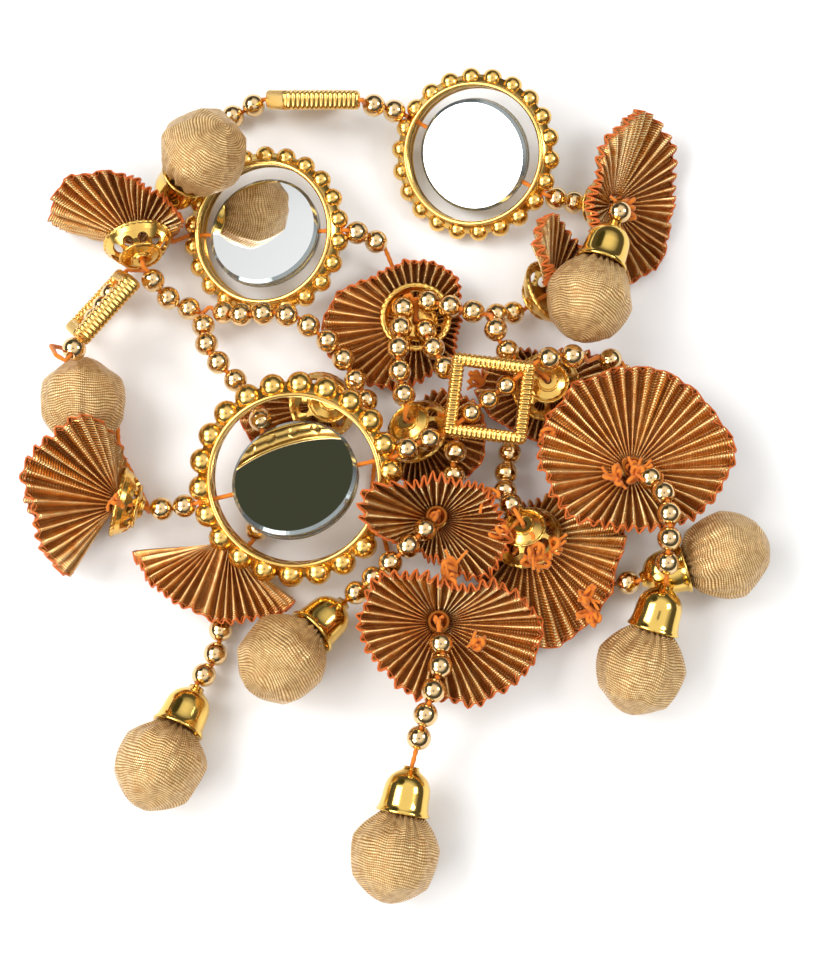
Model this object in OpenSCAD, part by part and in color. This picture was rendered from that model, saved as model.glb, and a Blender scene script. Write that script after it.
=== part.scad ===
// Hair-braid ornament of gold beads, pleated ribbon fans, mirror medallions and ball
// tassels, lying in a loose heap on a table. Millimetres, Z up, Z = 0 is the table.

/* [Beads and yarn] */
// Diameter of a gold bead on a string
bead_d = 6.4; // [5.8:0.1:6.6]
// Diameter of a gold bead inside a square frame
frame_bead_d = 5.6; // [5:0.1:5.7]
// Bore of every bead
bore_d = 1.9; // [1.7:0.1:2.2]
// Thickness of the orange yarn
yarn_d = 1.4; // [1:0.1:1.5]
// Free play between two beads that follow each other
bead_play = 0.3; // [0.25:0.05:0.5]

/* [Mirror medallions] */
// Number of domes round a ring
dome_count = 22; // [18:1:24]
// Outer diameter of the main ring, over its domes
main_ring_d = 57; // [54:0.5:58]
// Clear opening of the main ring
main_hole_d = 44.5; // [42:0.5:46]
// Outer diameter of the two smaller rings, over their domes
side_ring_d = 47.5; // [46:0.5:49]
// Clear opening of the two smaller rings
side_hole_d = 37.5; // [36:0.5:38]
// Height of a ring along its axis
ring_h = 7; // [5:0.5:8]
// Diameter of the main mirror
main_mirror_d = 34; // [30:0.5:36]
// Diameter of the two smaller mirrors
side_mirror_d = 31; // [28:0.5:32]
// Thickness of a mirror, two glasses back to back
mirror_t = 4.2; // [3.6:0.1:5]

/* [Square frames] */
// Outer side of a square frame
square_w = 22.4; // [22:0.1:23]
// Width of a frame bar
square_bar = 3.6; // [3:0.1:3.7]
// Depth of a square frame
square_t = 5.6; // [5:0.1:6.5]
// Number of rope ribs along one bar
rib_count = 13; // [9:1:15]

/* [Pleated fans] */
// Width of the ribbon, from the hub of a fan to its rim
fan_r = 25; // [22:0.5:26]
// Radius of the gathered hub of a fan
hub_r = 2.8; // [2.6:0.1:3]
// Number of pleats round a fan
pleats = 36; // [24:2:36]
// Height of a pleat at the rim, from its middle
pleat_h = 1.2; // [0.8:0.1:1.4]
// Thickness of the ribbon, measured across the fan
ribbon_t = 1.4; // [1.2:0.1:1.5]

/* [Ball tassels and caps] */
// Diameter of a cloth ball
ball_d = 24.4; // [23:0.1:25]
// Diameter of a bell cap at its lip
bell_d = 14; // [13:0.1:14.5]
// Length of a bell cap
bell_h = 12.4; // [11:0.1:13]
// Diameter of a filigree cap at its rim
filigree_d = 18; // [16:0.5:18.5]
// Height of a filigree cap
filigree_h = 6.4; // [6:0.1:7]

/* [Hidden] */
// Shift that puts the middle of the heap over the origin
centre_shift = [-1.16, -2.9, 0];
gold = "goldenrod";
pale_gold = "burlywood";
copper = "peru";
orange = "orange";
glass = "silver";
// Wall of a filigree or bell cap
cap_wall = 0.8;
// Length of the small collar at the tip of a cap
collar_h = 0.8;
// Distance from a fan hub back to the rim of its cap
cap_gap = 1;
// Height of the ribbon's middle where it lies on the table
lie_z = 2.1;
fine = 48;

// Unit vector along v
function unit(v) = v / norm(v);

// Direction from a compass angle and an elevation
function heading(az, el) = [cos(az) * cos(el), sin(az) * cos(el), sin(el)];

// Direction in the plane square to n that runs toward compass angle az
function in_plane(az, n) = let (h = heading(az, 0)) unit(h - n * (h * n));

// Puts a piece at a place, its Z along z and its X along x
module put(centre, x, z) {
  y = cross(z, x);
  translate(centre + centre_shift)
    multmatrix([
      [x[0], y[0], z[0], 0],
      [x[1], y[1], z[1], 0],
      [x[2], y[2], z[2], 0],
      [0, 0, 0, 1]
    ])
      children();
}

// Sideways direction of a piece whose axis is n
function side(n) = norm(cross([0, 0, 1], n)) > 0.001 ? unit(cross([0, 0, 1], n)) : [1, 0, 0];

/* Medallions: centre, compass angle of the string, normal, turn of the mirror,
   outer diameter, opening, mirror diameter, dome radius */
MEDALLIONS = [
  [[-25, -0.5, 16.5], 14, [-0.08, -0.28, 0.957], -35, main_ring_d, main_hole_d, main_mirror_d, 3.2],
  [[-34.5, 70.5, 10.5], 0, [-0.26, -0.2, 0.94], -16, side_ring_d, side_hole_d, side_mirror_d, 2.5],
  [[23.5, 93.5, 10.5], -31, [-0.25, -0.28, 0.93], 14, side_ring_d, side_hole_d, side_mirror_d, 2.5]
];

// Squares: centre, direction of the string, direction across the string in the frame
SQUARES = [
  [[26.5, 20.6, 20.5], [0.79, 0.6, 0.12], [-0.6, 0.78, 0.17]],
  [[-78.5, 48.7, 12.7], [-0.28, -0.78, 0.56], [0.66, 0.26, 0.7]],
  [[-21.8, 108.6, 13.4], [0.88, -0.19, 0.43], [-0.47, -0.36, 0.81]]
];

/* Fans: hub, compass angle and elevation of the open side, the rise of the ribbon above
   the hub plane in eight directions, and the part of the ribbon width shown there.
   Directions go round from the side piece: right, right-top, top, top-left, left,
   left-bottom, bottom, bottom-right */
FANS = [
  [[-70, 69, 11.3], 105, -15,
    [34, 36, 46, 10, 9, 40, 66, 45], [0.88, 0.9, 0.64, 0.5, 0.42, 0.4, 0.7, 0.9]],
  [[-74, -5, 10.5], 168, 8,
    [24, 50, 64, 28, 10, 30, 78, 55], [0.85, 0.95, 1.05, 1, 0.2, 0.4, 0.95, 0.9]],
  [[-45.5, -17, 3.6], 253, 3,
    [27, 73, 80, 66, 25, 60, 90, 60], [0.9, 0.85, 0.8, 0.8, 0.8, 0.44, 0.35, 0.42]],
  [[13, -38, 10], -90, 90,
    [12, 52, 70, 45, 25, 25, 22, 15], [0.97, 0.6, 0.62, 0.76, 0.8, 0.77, 0.83, 0.92]],
  [[12.5, -10, 10.5], -90, 90,
    [32, 60, 70, 60, 50, 26, 36, 24], [0.66, 0.62, 0.58, 0.62, 1.04, 0.34, 0.5, 0.84]],
  [[37, -15.5, 9], -60, -65,
    [14, 20, 35, 24, 14, 12, 8, 8], [0.98, 0.9, 1.05, 1, 0.55, 0.4, 0.3, 0.5]],
  [[65, 3.5, 10], -90, 90,
    [20, 14, 10, 14, 20, 26, 34, 22], [1, 1, 1.02, 1, 0.95, 0.85, 0.72, 0.77]],
  [[62, 79, 8.9], -20, 35,
    [8, 10, 6, 8, 6, 10, 45, 30], [1, 0.78, 0.42, 0.42, 0.56, 0.86, 0.62, 0.7]],
  [[7, 46.5, 3.6], -90, 90,
    [22, 26, 28, 28, 8, 2, 10, 14], [0.4, 0.58, 0.6, 0.62, 0.92, 0.8, 0.6, 0.47]],
  [[42.5, 27, 7.5], -90, -90,
    [14, 12, 12, 12, 12, 12, 12, 14], [1, 0.8, 0.5, 0.5, 0.65, 0.5, 0.3, 0.55]],
  [[8, 14.5, 6.4], -30, -60,
    [14, 24, 36, 32, 16, 10, 10, 12], [0.5, 0.6, 0.65, 0.55, 0.4, 0.12, 0.12, 0.25]],
  [[45, 54.5, 8.8], 20, 42,
    [20, 40, 90, 90, 40, 30, 48, 35], [0.75, 0.2, 0.05, 0.05, 0.06, 0.3, 0.35, 0.5]],
  [[-19, 22.5, 4.6], 180, -70,
    [14, 26, 35, 24, 12, 10, 10, 12], [0.6, 0.7, 0.8, 0.3, 0.12, 0.1, 0.1, 0.14]]
];

// Ball tassels: middle of the ball and a point that its bell cap aims at
BALLS = [
  [[-50.3, 88, 26.2], [-62.3, 80.5, 8.5]],
  [[-83, 22, 12.2], [-82, -1, 12]],
  [[-59.5, -75.5, 12.2], [-51, -55, 7]],
  [[-28, -48, 14.5], [-11.5, -31.5, 8]],
  [[1.5, -98.5, 12.2], [6, -75.5, 13.5]],
  [[66, -50.5, 12.2], [72.5, -29.5, 17]],
  [[89, -20, 12.2], [66, -26.5, 9]],
  [[53.5, 48, 21.5], [61, 70, 20.5]]
];

// Direction of a ball's cap, and the tip of that cap
function ball_axis(b) = unit(BALLS[b][1] - BALLS[b][0]);
function ball_tip(b) = BALLS[b][0] + ball_axis(b) * (ball_d / 2 - 1.5 + bell_h);

// Opening direction of a fan, and a point on its axis at distance t from the hub
function fan_axis(f) = heading(FANS[f][1], FANS[f][2]);
function hub(f, t) = FANS[f][0] + fan_axis(f) * t;

// Distance from a fan hub back to the end of its cap's collar
cap_end = cap_gap + filigree_h + collar_h;

// String direction and string exits of a medallion; s is -1 on the left, 1 on the right
function ring_x(m) = in_plane(MEDALLIONS[m][1], unit(MEDALLIONS[m][2]));
function ring_exit(m, s) = MEDALLIONS[m][0]
  + ring_x(m) * s * (MEDALLIONS[m][4] / 2 - MEDALLIONS[m][7] * 0.33);

// Corner of a square frame on its string
function corner(q, s) = SQUARES[q][0] + unit(SQUARES[q][1]) * s * (square_w * 0.707 + 0.3);

// Value between p1 and p2 on a smooth curve with neighbours p0 and p3
function blend(p0, p1, p2, p3, t) = 0.5 * (2 * p1 + (p2 - p0) * t
  + (2 * p0 - 5 * p1 + 4 * p2 - p3) * t * t + (3 * p1 - p0 - 3 * p2 + p3) * t * t * t);

// Smooth curve through the points of a route
function smooth(p) = let (last = len(p) - 1) [
  for (i = [0:last - 1], t = [0:0.125:0.99])
    blend(p[max(i - 1, 0)], p[i], p[i + 1], p[min(i + 2, last)], t),
  p[last]
];

// Lengths along a path up to each of its points
function lengths(p) = [
  for (i = 0, s = 0; i < len(p); s = s + (i + 1 < len(p) ? norm(p[i + 1] - p[i]) : 0), i = i + 1) s
];

// Next stop of a row of beads: the point of path p, from part k on, at distance d from a
function next_stop(p, k, a, d) = k > len(p) - 2 ? [len(p) - 1, a + unit(p[len(p) - 1] - p[len(p) - 2]) * d]
  : norm(p[k + 1] - a) < d ? next_stop(p, k + 1, a, d)
  : let (
    v = unit(p[k + 1] - p[k]),
    w = a - p[k],
    h = w * v,
    t = h + sqrt(max(0, h * h - w * w + d * d))
  ) [k, p[k] + v * t];

// Ends of the beads of one run: n beads of diameter d along a route, or the bare route
function stops(row) = let (d = row[0] + bead_play, n = row[1]) n == 0 ? row[2]
  : let (p = smooth(row[2])) [
    for (
      i = 0, s = [0, p[0]];
      i <= n;
      i = i + 1, s = i <= n ? next_stop(p, s[0], s[1], d) : s
    ) s[1]
  ];

// Yarn line of one string
function line(runs) = [for (row = runs) each stops(row)];

// Last stop of a run
function last_stop(row) = let (s = stops(row)) s[len(s) - 1];

/* Strings are lists of runs: bead diameter, bead count and route.
   A count of 0 is bare yarn */
GARLAND = [
  [0, 0, [hub(1, 2), hub(1, -cap_end - 1.5)]],
  [bead_d, 2, [hub(1, -cap_end - 1.5), [-58.5, -7, 9.5], ring_exit(0, -1)]],
  [0, 0, [ring_exit(0, -1), ring_exit(0, 1)]],
  [bead_d, 2, [ring_exit(0, 1) + [0.3, 0.1, 0.1], [7.5, 8.5, 20.8], corner(0, -1)]],
  [0, 0, [corner(0, -1)]],
  [frame_bead_d, 3, [SQUARES[0][0] - unit(SQUARES[0][1]) * 9, SQUARES[0][0] + unit(SQUARES[0][1]) * 9]],
  [0, 0, [corner(0, 1)]],
  [bead_d, 2, [corner(0, 1), [44, 32, 22], [51, 32.5, 20]]],
  [0, 0, [[53.5, 33, 13]]],
  [bead_d, 1, [[57, 35.5, 8.8], [64, 34, 7.8]]],
  [0, 0, [[66.5, 27, 6], [67.5, 18, 5], [66, 11, 4], [65, 7, 1], [65, 3.5, 1], [65, 3.5, 15]]]
];
UPPER = [
  [0, 0, [hub(7, 2), hub(7, -cap_end - 1.7)]],
  [bead_d, 2, [hub(7, -cap_end - 1.7), [49, 81.5, 5.5], ring_exit(2, 1)]],
  [0, 0, [ring_exit(2, 1), ring_exit(2, -1)]],
  [bead_d, 2, [ring_exit(2, -1) + [-0.3, 0.2, 0], [-0.5, 107, 11], [-6, 106.5, 15]]],
  [0, 0, [corner(2, 1)]],
  [frame_bead_d, 3, [SQUARES[2][0] + unit(SQUARES[2][1]) * 9, SQUARES[2][0] - unit(SQUARES[2][1]) * 9]],
  [0, 0, [corner(2, -1)]],
  [bead_d, 2, [corner(2, -1), [-41.5, 109, 4.5], [-48, 106, 4]]],
  [0, 0, [[-53, 98, 1], [-60, 88, 1], [-62.5, 78, 1], [-61.5, 71, 1.5], ring_exit(1, -1), ring_exit(1, 1)]],
  [bead_d, 2, [ring_exit(1, 1) + [0.4, 0, 0], [-6, 69, 12.5], [-1, 66.5, 8]]],
  [0, 0, [[1, 62, 3], [4, 54, 1], [7, 46.5, 1], [7, 46.5, 6]]]
];
A_TOP = [bead_d, 3, [hub(0, -cap_end - 2.2) + [0.8, -0.4, -0.8], [-64, 54.5, 10], [-59.5, 51.5, 6],
  [-53.5, 50, 3.5]]];
// Knot of string B on string A
knot_a = last_stop(A_TOP) + [0.6, -0.6, 0.6];
STRING_A = [
  [0, 0, [hub(0, 2), hub(0, -cap_end - 2.2)]],
  A_TOP,
  [bead_d, 5, [last_stop(A_TOP) + [1.2, -2.2, 2.4], [-51.5, 43, 8.5], [-50.5, 38.5, 10],
    [-48, 34.5, 11], [-45, 31.5, 10.5], [-41, 27.5, 9.5]]],
  [0, 0, [[-34.5, 21, 7]]],
  [bead_d, 1, [[-35.5, 20.5, 11], [-34.5, 14.5, 11.5]]],
  [0, 0, [[-34.5, 12, 8.5], [-34.5, 6, 6], [-35, -4, 5]]],
  [bead_d, 1, [[-35, -8.5, 4.5], [-37, -15, 5]]],
  [0, 0, [[-39, -17, 5], [-45, -16.5, 5], [-45.5, -19, 4.6], [-46, -24, 5]]],
  [bead_d, 4, [[-46, -29, 4.5], [-45, -35, 4], [-45.5, -42, 4], [-47.5, -49, 5], [-50.5, -53.5, 6.5]]],
  [0, 0, [ball_tip(2), ball_tip(2) - ball_axis(2) * 9]]
];
STRING_B = [
  [0, 0, [knot_a, knot_a + [1.8, 1.8, 0]]],
  [bead_d, 9, [knot_a + [4.2, 0.7, 1.2], [-44.5, 47.5, 9], [-40, 46.5, 11.5], [-36, 46.5, 13.5],
    [-31, 46.5, 14], [-24.5, 45, 13.5], [-19.5, 41, 12.5], [-14, 37, 10.5], [-11, 31.5, 9.5],
    [-7.5, 25.5, 9.5], [-6, 22, 10]]],
  [0, 0, [[-6.5, 18.5, 13], hub(12, -cap_end - 2), hub(12, 2)]]
];
STRING_R = [
  [0, 0, [hub(0, -cap_end - 0.9), [-67.4, 59.8, 10], [-69.5, 61, 6.5],
    SQUARES[1][0] - unit(SQUARES[1][1]) * 17.5, corner(1, -1)]],
  [frame_bead_d, 3, [SQUARES[1][0] - unit(SQUARES[1][1]) * 9, SQUARES[1][0] + unit(SQUARES[1][1]) * 9]],
  [0, 0, [corner(1, 1)]],
  [bead_d, 1, [corner(1, 1), [-84.5, 31, 25.5]]],
  [0, 0, [[-85.5, 29.5, 26.5], [-88, 31, 26.5], [-91, 36, 18], [-89, 38.5, 6], [-85, 37, 1], [-76, 27, 1],
    [-75, 16, 1], [-74.5, 11, 1], [-71, 5, 1], [-68, -1, 1], [-66, -5, 1], [-65.2, -6.9, 4.5],
    hub(1, -cap_end - 0.75)]]
];
D1_TOP = [bead_d, 3, [[7.6, 51.6, 10.2], [11, 50.5, 12], [15, 48.5, 14], [20.5, 47, 15], [25.5, 46, 14.5]]];
// Knot of string D4 on string D1
knot_d = last_stop(D1_TOP) + [0.7, 0.1, -0.6];
STRING_D1 = [
  [0, 0, [[7, 46.5, 6], [7, 46.5, 8], [7, 50.5, 9], [6.9, 51.9, 9.8]]],
  D1_TOP,
  [bead_d, 2, [last_stop(D1_TOP) + [1.4, 0.2, -1.2], [30, 47.5, 8.5], [34.5, 49, 5.5], [39, 51, 4]]],
  [0, 0, [hub(11, -cap_end - 0.3), hub(11, 2)]]
];
STRING_D2 = [
  [0, 0, [[7, 46.5, 6], [7, 46.5, 8], [6.8, 50.5, 9.2], [5.5, 52.8, 10.2], [4, 52.2, 10.2]]],
  [bead_d, 5, [[3.7, 51.8, 10.2], [3.5, 48.5, 11], [3, 42.5, 13.5], [2, 36.5, 16],
    [2.5, 30, 16], [3.5, 24, 16], [4.5, 19.5, 16.5]]],
  [0, 0, [hub(10, -cap_end - 1), hub(10, 2.5), [4, 12, 1], [-4, 11, 1], [-5, 0, 1], [0, -20, 1],
    [6, -33, 1], [13, -38, 1], [13, -38, 16]]],
  [bead_d, 5, [[13, -41.5, 17.5], [14, -47, 20], [12.5, -54, 22], [10.5, -60, 22.5],
    [8.5, -66, 20], [7, -72, 16]]],
  [0, 0, [ball_tip(4), ball_tip(4) - ball_axis(4) * 9]]
];
STRING_D3 = [
  [0, 0, [[7, 46.5, 6], [7, 46.5, 7.5]]],
  [bead_d, 3, [[9, 45, 9], [9.5, 41.5, 11.5], [11.5, 37, 14], [14.5, 31.5, 14.5]]],
  [0, 0, [[16, 20, 10.5], [17.5, 12, 13.5]]],
  [bead_d, 2, [[18, 11, 14.5], [17, 4.5, 13], [17, -0.5, 9.5]]],
  [0, 0, [[16.5, -1.5, 5.5], [14, -5, 2.5], [13, -8, 1], [12.5, -10, 1], [12.5, -10, 16]]],
  [bead_d, 5, [[11.5, -12, 17], [8, -16, 19.5], [3, -21, 19.5], [-1.5, -24.5, 16.5],
    [-6, -28, 13], [-10.5, -31, 9.5]]],
  [0, 0, [ball_tip(3), ball_tip(3) - ball_axis(3) * 9]]
];
STRING_D4 = [
  [0, 0, [knot_d, knot_d + [0.9, -1, 1.6]]],
  [bead_d, 2, [knot_d + [1, -1.8, 2.6], [29.5, 38.5, 15], [33, 34, 13.5]]],
  [0, 0, [[38, 31, 17], hub(9, -cap_end - 1.5), hub(9, -cap_end)]]
];
STRING_G = [
  [0, 0, [hub(9, -cap_end - 0.6), hub(9, 3), [38, 20, 1.5], [33.5, 15, 2.5]]],
  [bead_d, 4, [[33, 12.5, 4], [32, 5.5, 6.5], [30.5, -1, 9.5], [31.5, -5.5, 13.5], [33, -9, 17.5]]],
  [0, 0, [hub(5, -cap_end - 1), hub(5, 3), [50, -21, 1], [60, -26, 1]]],
  [bead_d, 1, [[61.5, -26.5, 4], [66.5, -26.5, 9]]],
  [0, 0, [ball_tip(6), ball_tip(6) - ball_axis(6) * 9]]
];
STRING_6 = [
  [0, 0, [hub(6, 4), hub(6, 5.5)]],
  [bead_d, 5, [[67, 1.5, 17], [71, -2.5, 20.5], [73, -9, 24.5], [73, -15.5, 25],
    [72.5, -22, 23.5], [72.5, -28.5, 18]]],
  [0, 0, [ball_tip(5), ball_tip(5) - ball_axis(5) * 9]]
];
STRING_8 = [
  [0, 0, [hub(7, 1), hub(7, 5.2), [65, 77.5, 17]]],
  [bead_d, 1, [[63.4, 76.1, 20.5], [61.3, 69.8, 20.4]]],
  [0, 0, [ball_tip(7), ball_tip(7) - ball_axis(7) * 9]]
];
STRING_2 = [
  [0, 0, [hub(1, 2), [-80, -4.5, 11.5], ball_tip(1) - [0, 1, 0], ball_tip(1) - ball_axis(1) * 9]]
];
STRING_1 = [
  [0, 0, [hub(0, 2), hub(0, 5), ball_tip(0) + ball_axis(0), ball_tip(0) - ball_axis(0) * 9]]
];

// Round tube along a line
module tube(p, r) {
  q = [for (i = [0:len(p) - 1]) if (i == 0 || norm(p[i] - p[i - 1]) > 0.3) p[i]];
  m = len(q);
  t = [for (i = [0:m - 1]) unit(q[min(i + 1, m - 1)] - q[max(i - 1, 0)])];
  u = [
    for (i = 0, v = side(t[0]); i < m; i = i + 1, v = i < m ? unit(v - t[i] * (v * t[i])) : v) v
  ];
  ring = [
    for (i = [0:m - 1], a = [0:60:300])
      q[i] + r * (u[i] * cos(a) + cross(t[i], u[i]) * sin(a))
  ];
  translate(centre_shift)
    polyhedron(
      points = ring,
    faces = concat(
      [for (i = [0:m - 2], k = [0:5]) [i * 6 + k, (i + 1) * 6 + k, (i + 1) * 6 + (k + 1) % 6]],
      [for (i = [0:m - 2], k = [0:5]) [i * 6 + k, (i + 1) * 6 + (k + 1) % 6, i * 6 + (k + 1) % 6]],
      [[for (k = [0:5]) k]],
      [[for (k = [5:-1:0]) (m - 1) * 6 + k]]
    )
  );
}

// Drilled beads of one string
module string_beads(runs) {
  for (row = runs)
    if (row[1] > 0) {
      p = stops(row);
      for (i = [0:row[1] - 1]) {
        z = unit(p[i + 1] - p[i]);
        put((p[i] + p[i + 1]) / 2, side(z), z)
          difference() {
            sphere(d = row[0], $fn = fine);
            cylinder(d = bore_d, h = row[0] + 1, center = true, $fn = fine);
          }
      }
    }
}

// Cast ring of a medallion with a crown of domes and two string holes
module medallion(m) {
  row = MEDALLIONS[m];
  r_hole = row[5] / 2;
  dome = row[7];
  r_dome = row[4] / 2 - dome;
  color(gold)
    put(row[0], ring_x(m), unit(row[2]))
      difference() {
        union() {
          rotate_extrude($fn = fine)
            polygon([
              [r_hole, 0.6 - ring_h / 2], [r_hole + 1, 0.6 - ring_h / 2], [r_hole + 1.5, -1.9],
              [r_dome + 0.7, -1.3], [r_dome + 0.7, 1.3], [r_hole + 1.5, 1.9],
              [r_hole + 1, ring_h / 2 - 0.6], [r_hole, ring_h / 2 - 0.6]
            ]);
          for (s = [-1, 1])
            translate([0, 0, s * (ring_h / 2 - 0.7)])
              rotate_extrude($fn = fine)
                translate([r_hole + 0.5, 0])
                  circle(r = 0.7, $fn = 24);
          for (k = [0:dome_count - 1])
            rotate([0, 0, (k + 0.5) * 360 / dome_count])
              translate([r_dome, 0, 0])
                sphere(r = dome, $fn = fine);
        }
        for (s = [0, 180])
          rotate([0, 0, s])
            translate([r_hole - 1, 0, 0])
              rotate([0, 90, 0])
                cylinder(d = bore_d, h = row[4] / 2 - r_hole + 2, $fn = fine);
      }
}

// Round mirror of two glasses, with a channel for the yarn between them
module mirror_disc(m) {
  row = MEDALLIONS[m];
  r = row[6] / 2;
  color(glass)
    put(row[0], ring_x(m), unit(row[2]))
      rotate([row[3], 0, 0])
        difference() {
          rotate_extrude($fn = fine)
            polygon([
              [0, -mirror_t / 2], [r - 1.2, -mirror_t / 2], [r, -mirror_t / 2 + 0.9],
              [r, mirror_t / 2 - 0.9], [r - 1.2, mirror_t / 2], [0, mirror_t / 2]
            ]);
          rotate([0, 90, 0])
            cylinder(d = bore_d, h = 2 * r + 1, center = true, $fn = fine);
        }
}

// Row of round ribs along the four bars of a frame
module ribs(at, r) {
  for (s = [0:90:270])
    rotate([0, 0, s])
      for (k = [0:rib_count - 1])
        translate([(k + 0.5 - rib_count / 2) * (square_w - 1) / rib_count, at])
          circle(r = r, $fn = 16);
}

// Square frame of four roped bars, hung from two corners
module square_frame(q) {
  row = SQUARES[q];
  x = unit(row[1]);
  z = unit(cross(x, unit(row[2])));
  color(gold)
    put(row[0], x, z)
      difference() {
        rotate([0, 0, 45])
          union() {
            linear_extrude(square_t - 1, center = true)
              difference() {
                union() {
                  square(square_w - 0.8, center = true);
                  ribs(square_w / 2 - 0.9, 0.9);
                }
                square(square_w - 2 * square_bar, center = true);
              }
            linear_extrude(square_t, center = true)
              ribs(square_w / 2 - square_bar / 2, 0.95);
          }
        rotate([0, 90, 0])
          cylinder(d = bore_d, h = square_w * 2, center = true, $fn = fine);
      }
}

// Value of an eight-way table at an angle round the hub
function round_value(v, a) = let (k = floor(a / 45), t = a / 45 - k)
  blend(v[(k + 7) % 8], v[k % 8], v[(k + 1) % 8], v[(k + 2) % 8], t);

// Direction from the hub centre out to angle a, and direction of the ribbon there
function outward(n, a) = let (x = side(n)) x * cos(a) + cross(n, x) * sin(a);
function ribbon_way(f, n, a) = let (e = round_value(FANS[f][3], a)) outward(n, a) * cos(e) + n * sin(e);

// Angles that share the rim of a fan evenly between the pleat edges
function pleat_angles(f, n) = let (
  way = [for (a = [0:5:360]) ribbon_way(f, n, a % 360)],
  c = lengths(way),
  table = [for (i = [0:72]) [c[i], i * 5]]
) [for (k = [0:2 * pleats - 1]) lookup(k * c[72] / (2 * pleats), table)];

// Point of the flat ribbon at angle a and share s of its width; it lies on the table
function ribbon_point(f, n, a, s) = let (
  w = fan_r * round_value(FANS[f][4], a) * s,
  p = FANS[f][0] + outward(n, a) * hub_r + ribbon_way(f, n, a) * w
) [p[0], p[1], max(p[2], min(lie_z, FANS[f][0][2]) + (1 - s) * 0.2)];

// Pleated ribbon gathered round a hub
module fan(f) {
  n = fan_axis(f);
  a = pleat_angles(f, n);
  m = len(a);
  share = [0, 0.5, 1];
  height = [0.1, 0.6, 1];
  mid = [for (j = [0:2]) [for (k = [0:m - 1]) ribbon_point(f, n, a[k], share[j])]];
  up = [
    for (j = [0:2]) [
      for (k = [0:m - 1])
        unit(cross(
          mid[j][(k + 1) % m] - mid[j][(k + m - 1) % m],
          mid[min(j + 1, 2)][k] - mid[max(j - 1, 0)][k]
        ))
    ]
  ];
  points = [
    for (j = [0:2], k = [0:m - 1], s = [-1, 1])
      mid[j][k] + up[j][k] * ((k % 2 == 0 ? 1 : -1) * pleat_h * height[j] + s * ribbon_t / 2)
  ];
  color(copper)
    translate(centre_shift)
      polyhedron(
        points = points,
      faces = [
        for (j = [0:1], k = [0:m - 1])
          let (
            k2 = (k + 1) % m,
            b = 2 * (j * m + k),
            c = 2 * (j * m + k2),
            d = 2 * ((j + 1) * m + k2),
            e = 2 * ((j + 1) * m + k)
          )
            each [[b, c, d], [b, d, e], [b + 1, d + 1, c + 1], [b + 1, e + 1, d + 1]],
        for (k = [0:m - 1])
          let (k2 = (k + 1) % m, b = 2 * k, c = 2 * k2, d = 4 * m + 2 * k, e = 4 * m + 2 * k2)
            each [[b, b + 1, c + 1], [b, c + 1, c], [d, e + 1, d + 1], [d, e, e + 1]]
      ]
    );
}

// Domed cap with a collar at its tip, z = 0 at the rim; the side may be pierced
module dome_cap(r, h, holes) {
  difference() {
    rotate_extrude($fn = fine)
      polygon([
        [r, 0], [r + 0.5, -0.5], [r, -1], [r * 0.94, -h * 0.35], [r * 0.78, -h * 0.65], [r * 0.52, -h * 0.88],
        [2.6, -h], [2.4, -h - collar_h], [bore_d / 2 + 0.1, -h - collar_h], [bore_d / 2 + 0.1, -h + cap_wall],
        [r * 0.5, -h * 0.88 + cap_wall * 0.95], [r * 0.72, -h * 0.6 + cap_wall * 0.5],
        [r * 0.94 - cap_wall, -h * 0.35], [r - cap_wall, -1], [r - cap_wall, 0]
      ]);
    if (holes > 0)
      for (k = [0:holes - 1])
        rotate([0, 0, k * 360 / holes])
          translate([r * 0.72, 0, -h * 0.6])
            rotate([0, 130, 0])
              cylinder(d = r * 0.34, h = 5, center = true, $fn = fine);
  }
}

// Filigree cap that sits on the closed side of a fan
module filigree_cap(f, holes) {
  n = fan_axis(f);
  color(gold)
    put(hub(f, -cap_gap), side(n), n)
      dome_cap(filigree_d / 2, filigree_h, holes);
}

// Filigree cup inside the open side of fan 9
module filigree_cup() {
  color(gold)
    put(FANS[8][0] + [0, 0, 7.1], [1, 0, 0], [0, 0, 1])
      dome_cap(filigree_d / 2 + 0.3, filigree_h - 1.4, 12);
}

// Small cone inside the open side of a fan
module hub_cone(f) {
  n = fan_axis(f);
  color(gold)
    put(hub(f, 1.4), side(n), n)
      rotate_extrude($fn = fine)
        polygon([[1.2, 0], [2, 0], [2.9, 2.7], [2.7, 3], [2.2, 3], [1.2, 0.8]]);
}

// Bell-shaped cap of a ball
module bell_cap(b) {
  r = bell_d / 2;
  v = ball_axis(b);
  color(gold)
    put(BALLS[b][0] + v * (ball_d / 2 - 1.5), side(v), v)
      rotate_extrude($fn = fine)
        polygon([
          [r, 0.5], [r - 0.1, 0], [r - 0.7, 0], [r - 1.3, 1.4],
          [r - 1.6, bell_h * 0.3], [r - 1.9, bell_h * 0.55], [r - 2.6, bell_h * 0.7], [r - 4, bell_h * 0.81],
          [bore_d / 2 + 0.2, bell_h * 0.87], [bore_d / 2 + 0.2, bell_h], [2, bell_h], [2.1, bell_h * 0.94],
          [r - 3.6, bell_h * 0.87], [r - 2, bell_h * 0.75], [r - 1.1, bell_h * 0.58], [r - 0.8, bell_h * 0.3],
          [r - 0.5, 1.6]
        ]);
}

// Round cloth ball gathered into a neck
module ball(b) {
  r = ball_d / 2;
  v = ball_axis(b);
  color(pale_gold)
    put(BALLS[b][0], side(v), v)
      difference() {
        union() {
          sphere(r = r, $fn = 64);
          cylinder(r1 = 5.4, r2 = 2, h = r + 5.2, $fn = fine);
        }
        translate([0, 0, r + 1.6])
          cylinder(d = bore_d, h = 6, $fn = fine);
      }
}

// Cones inside the open sides of four fans
module hub_cones() {
  for (f = [3, 4, 6, 7])
    hub_cone(f);
}

// Beads of the string through the main medallion
module beads_garland() {
  color(gold)
    string_beads(GARLAND);
}

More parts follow.
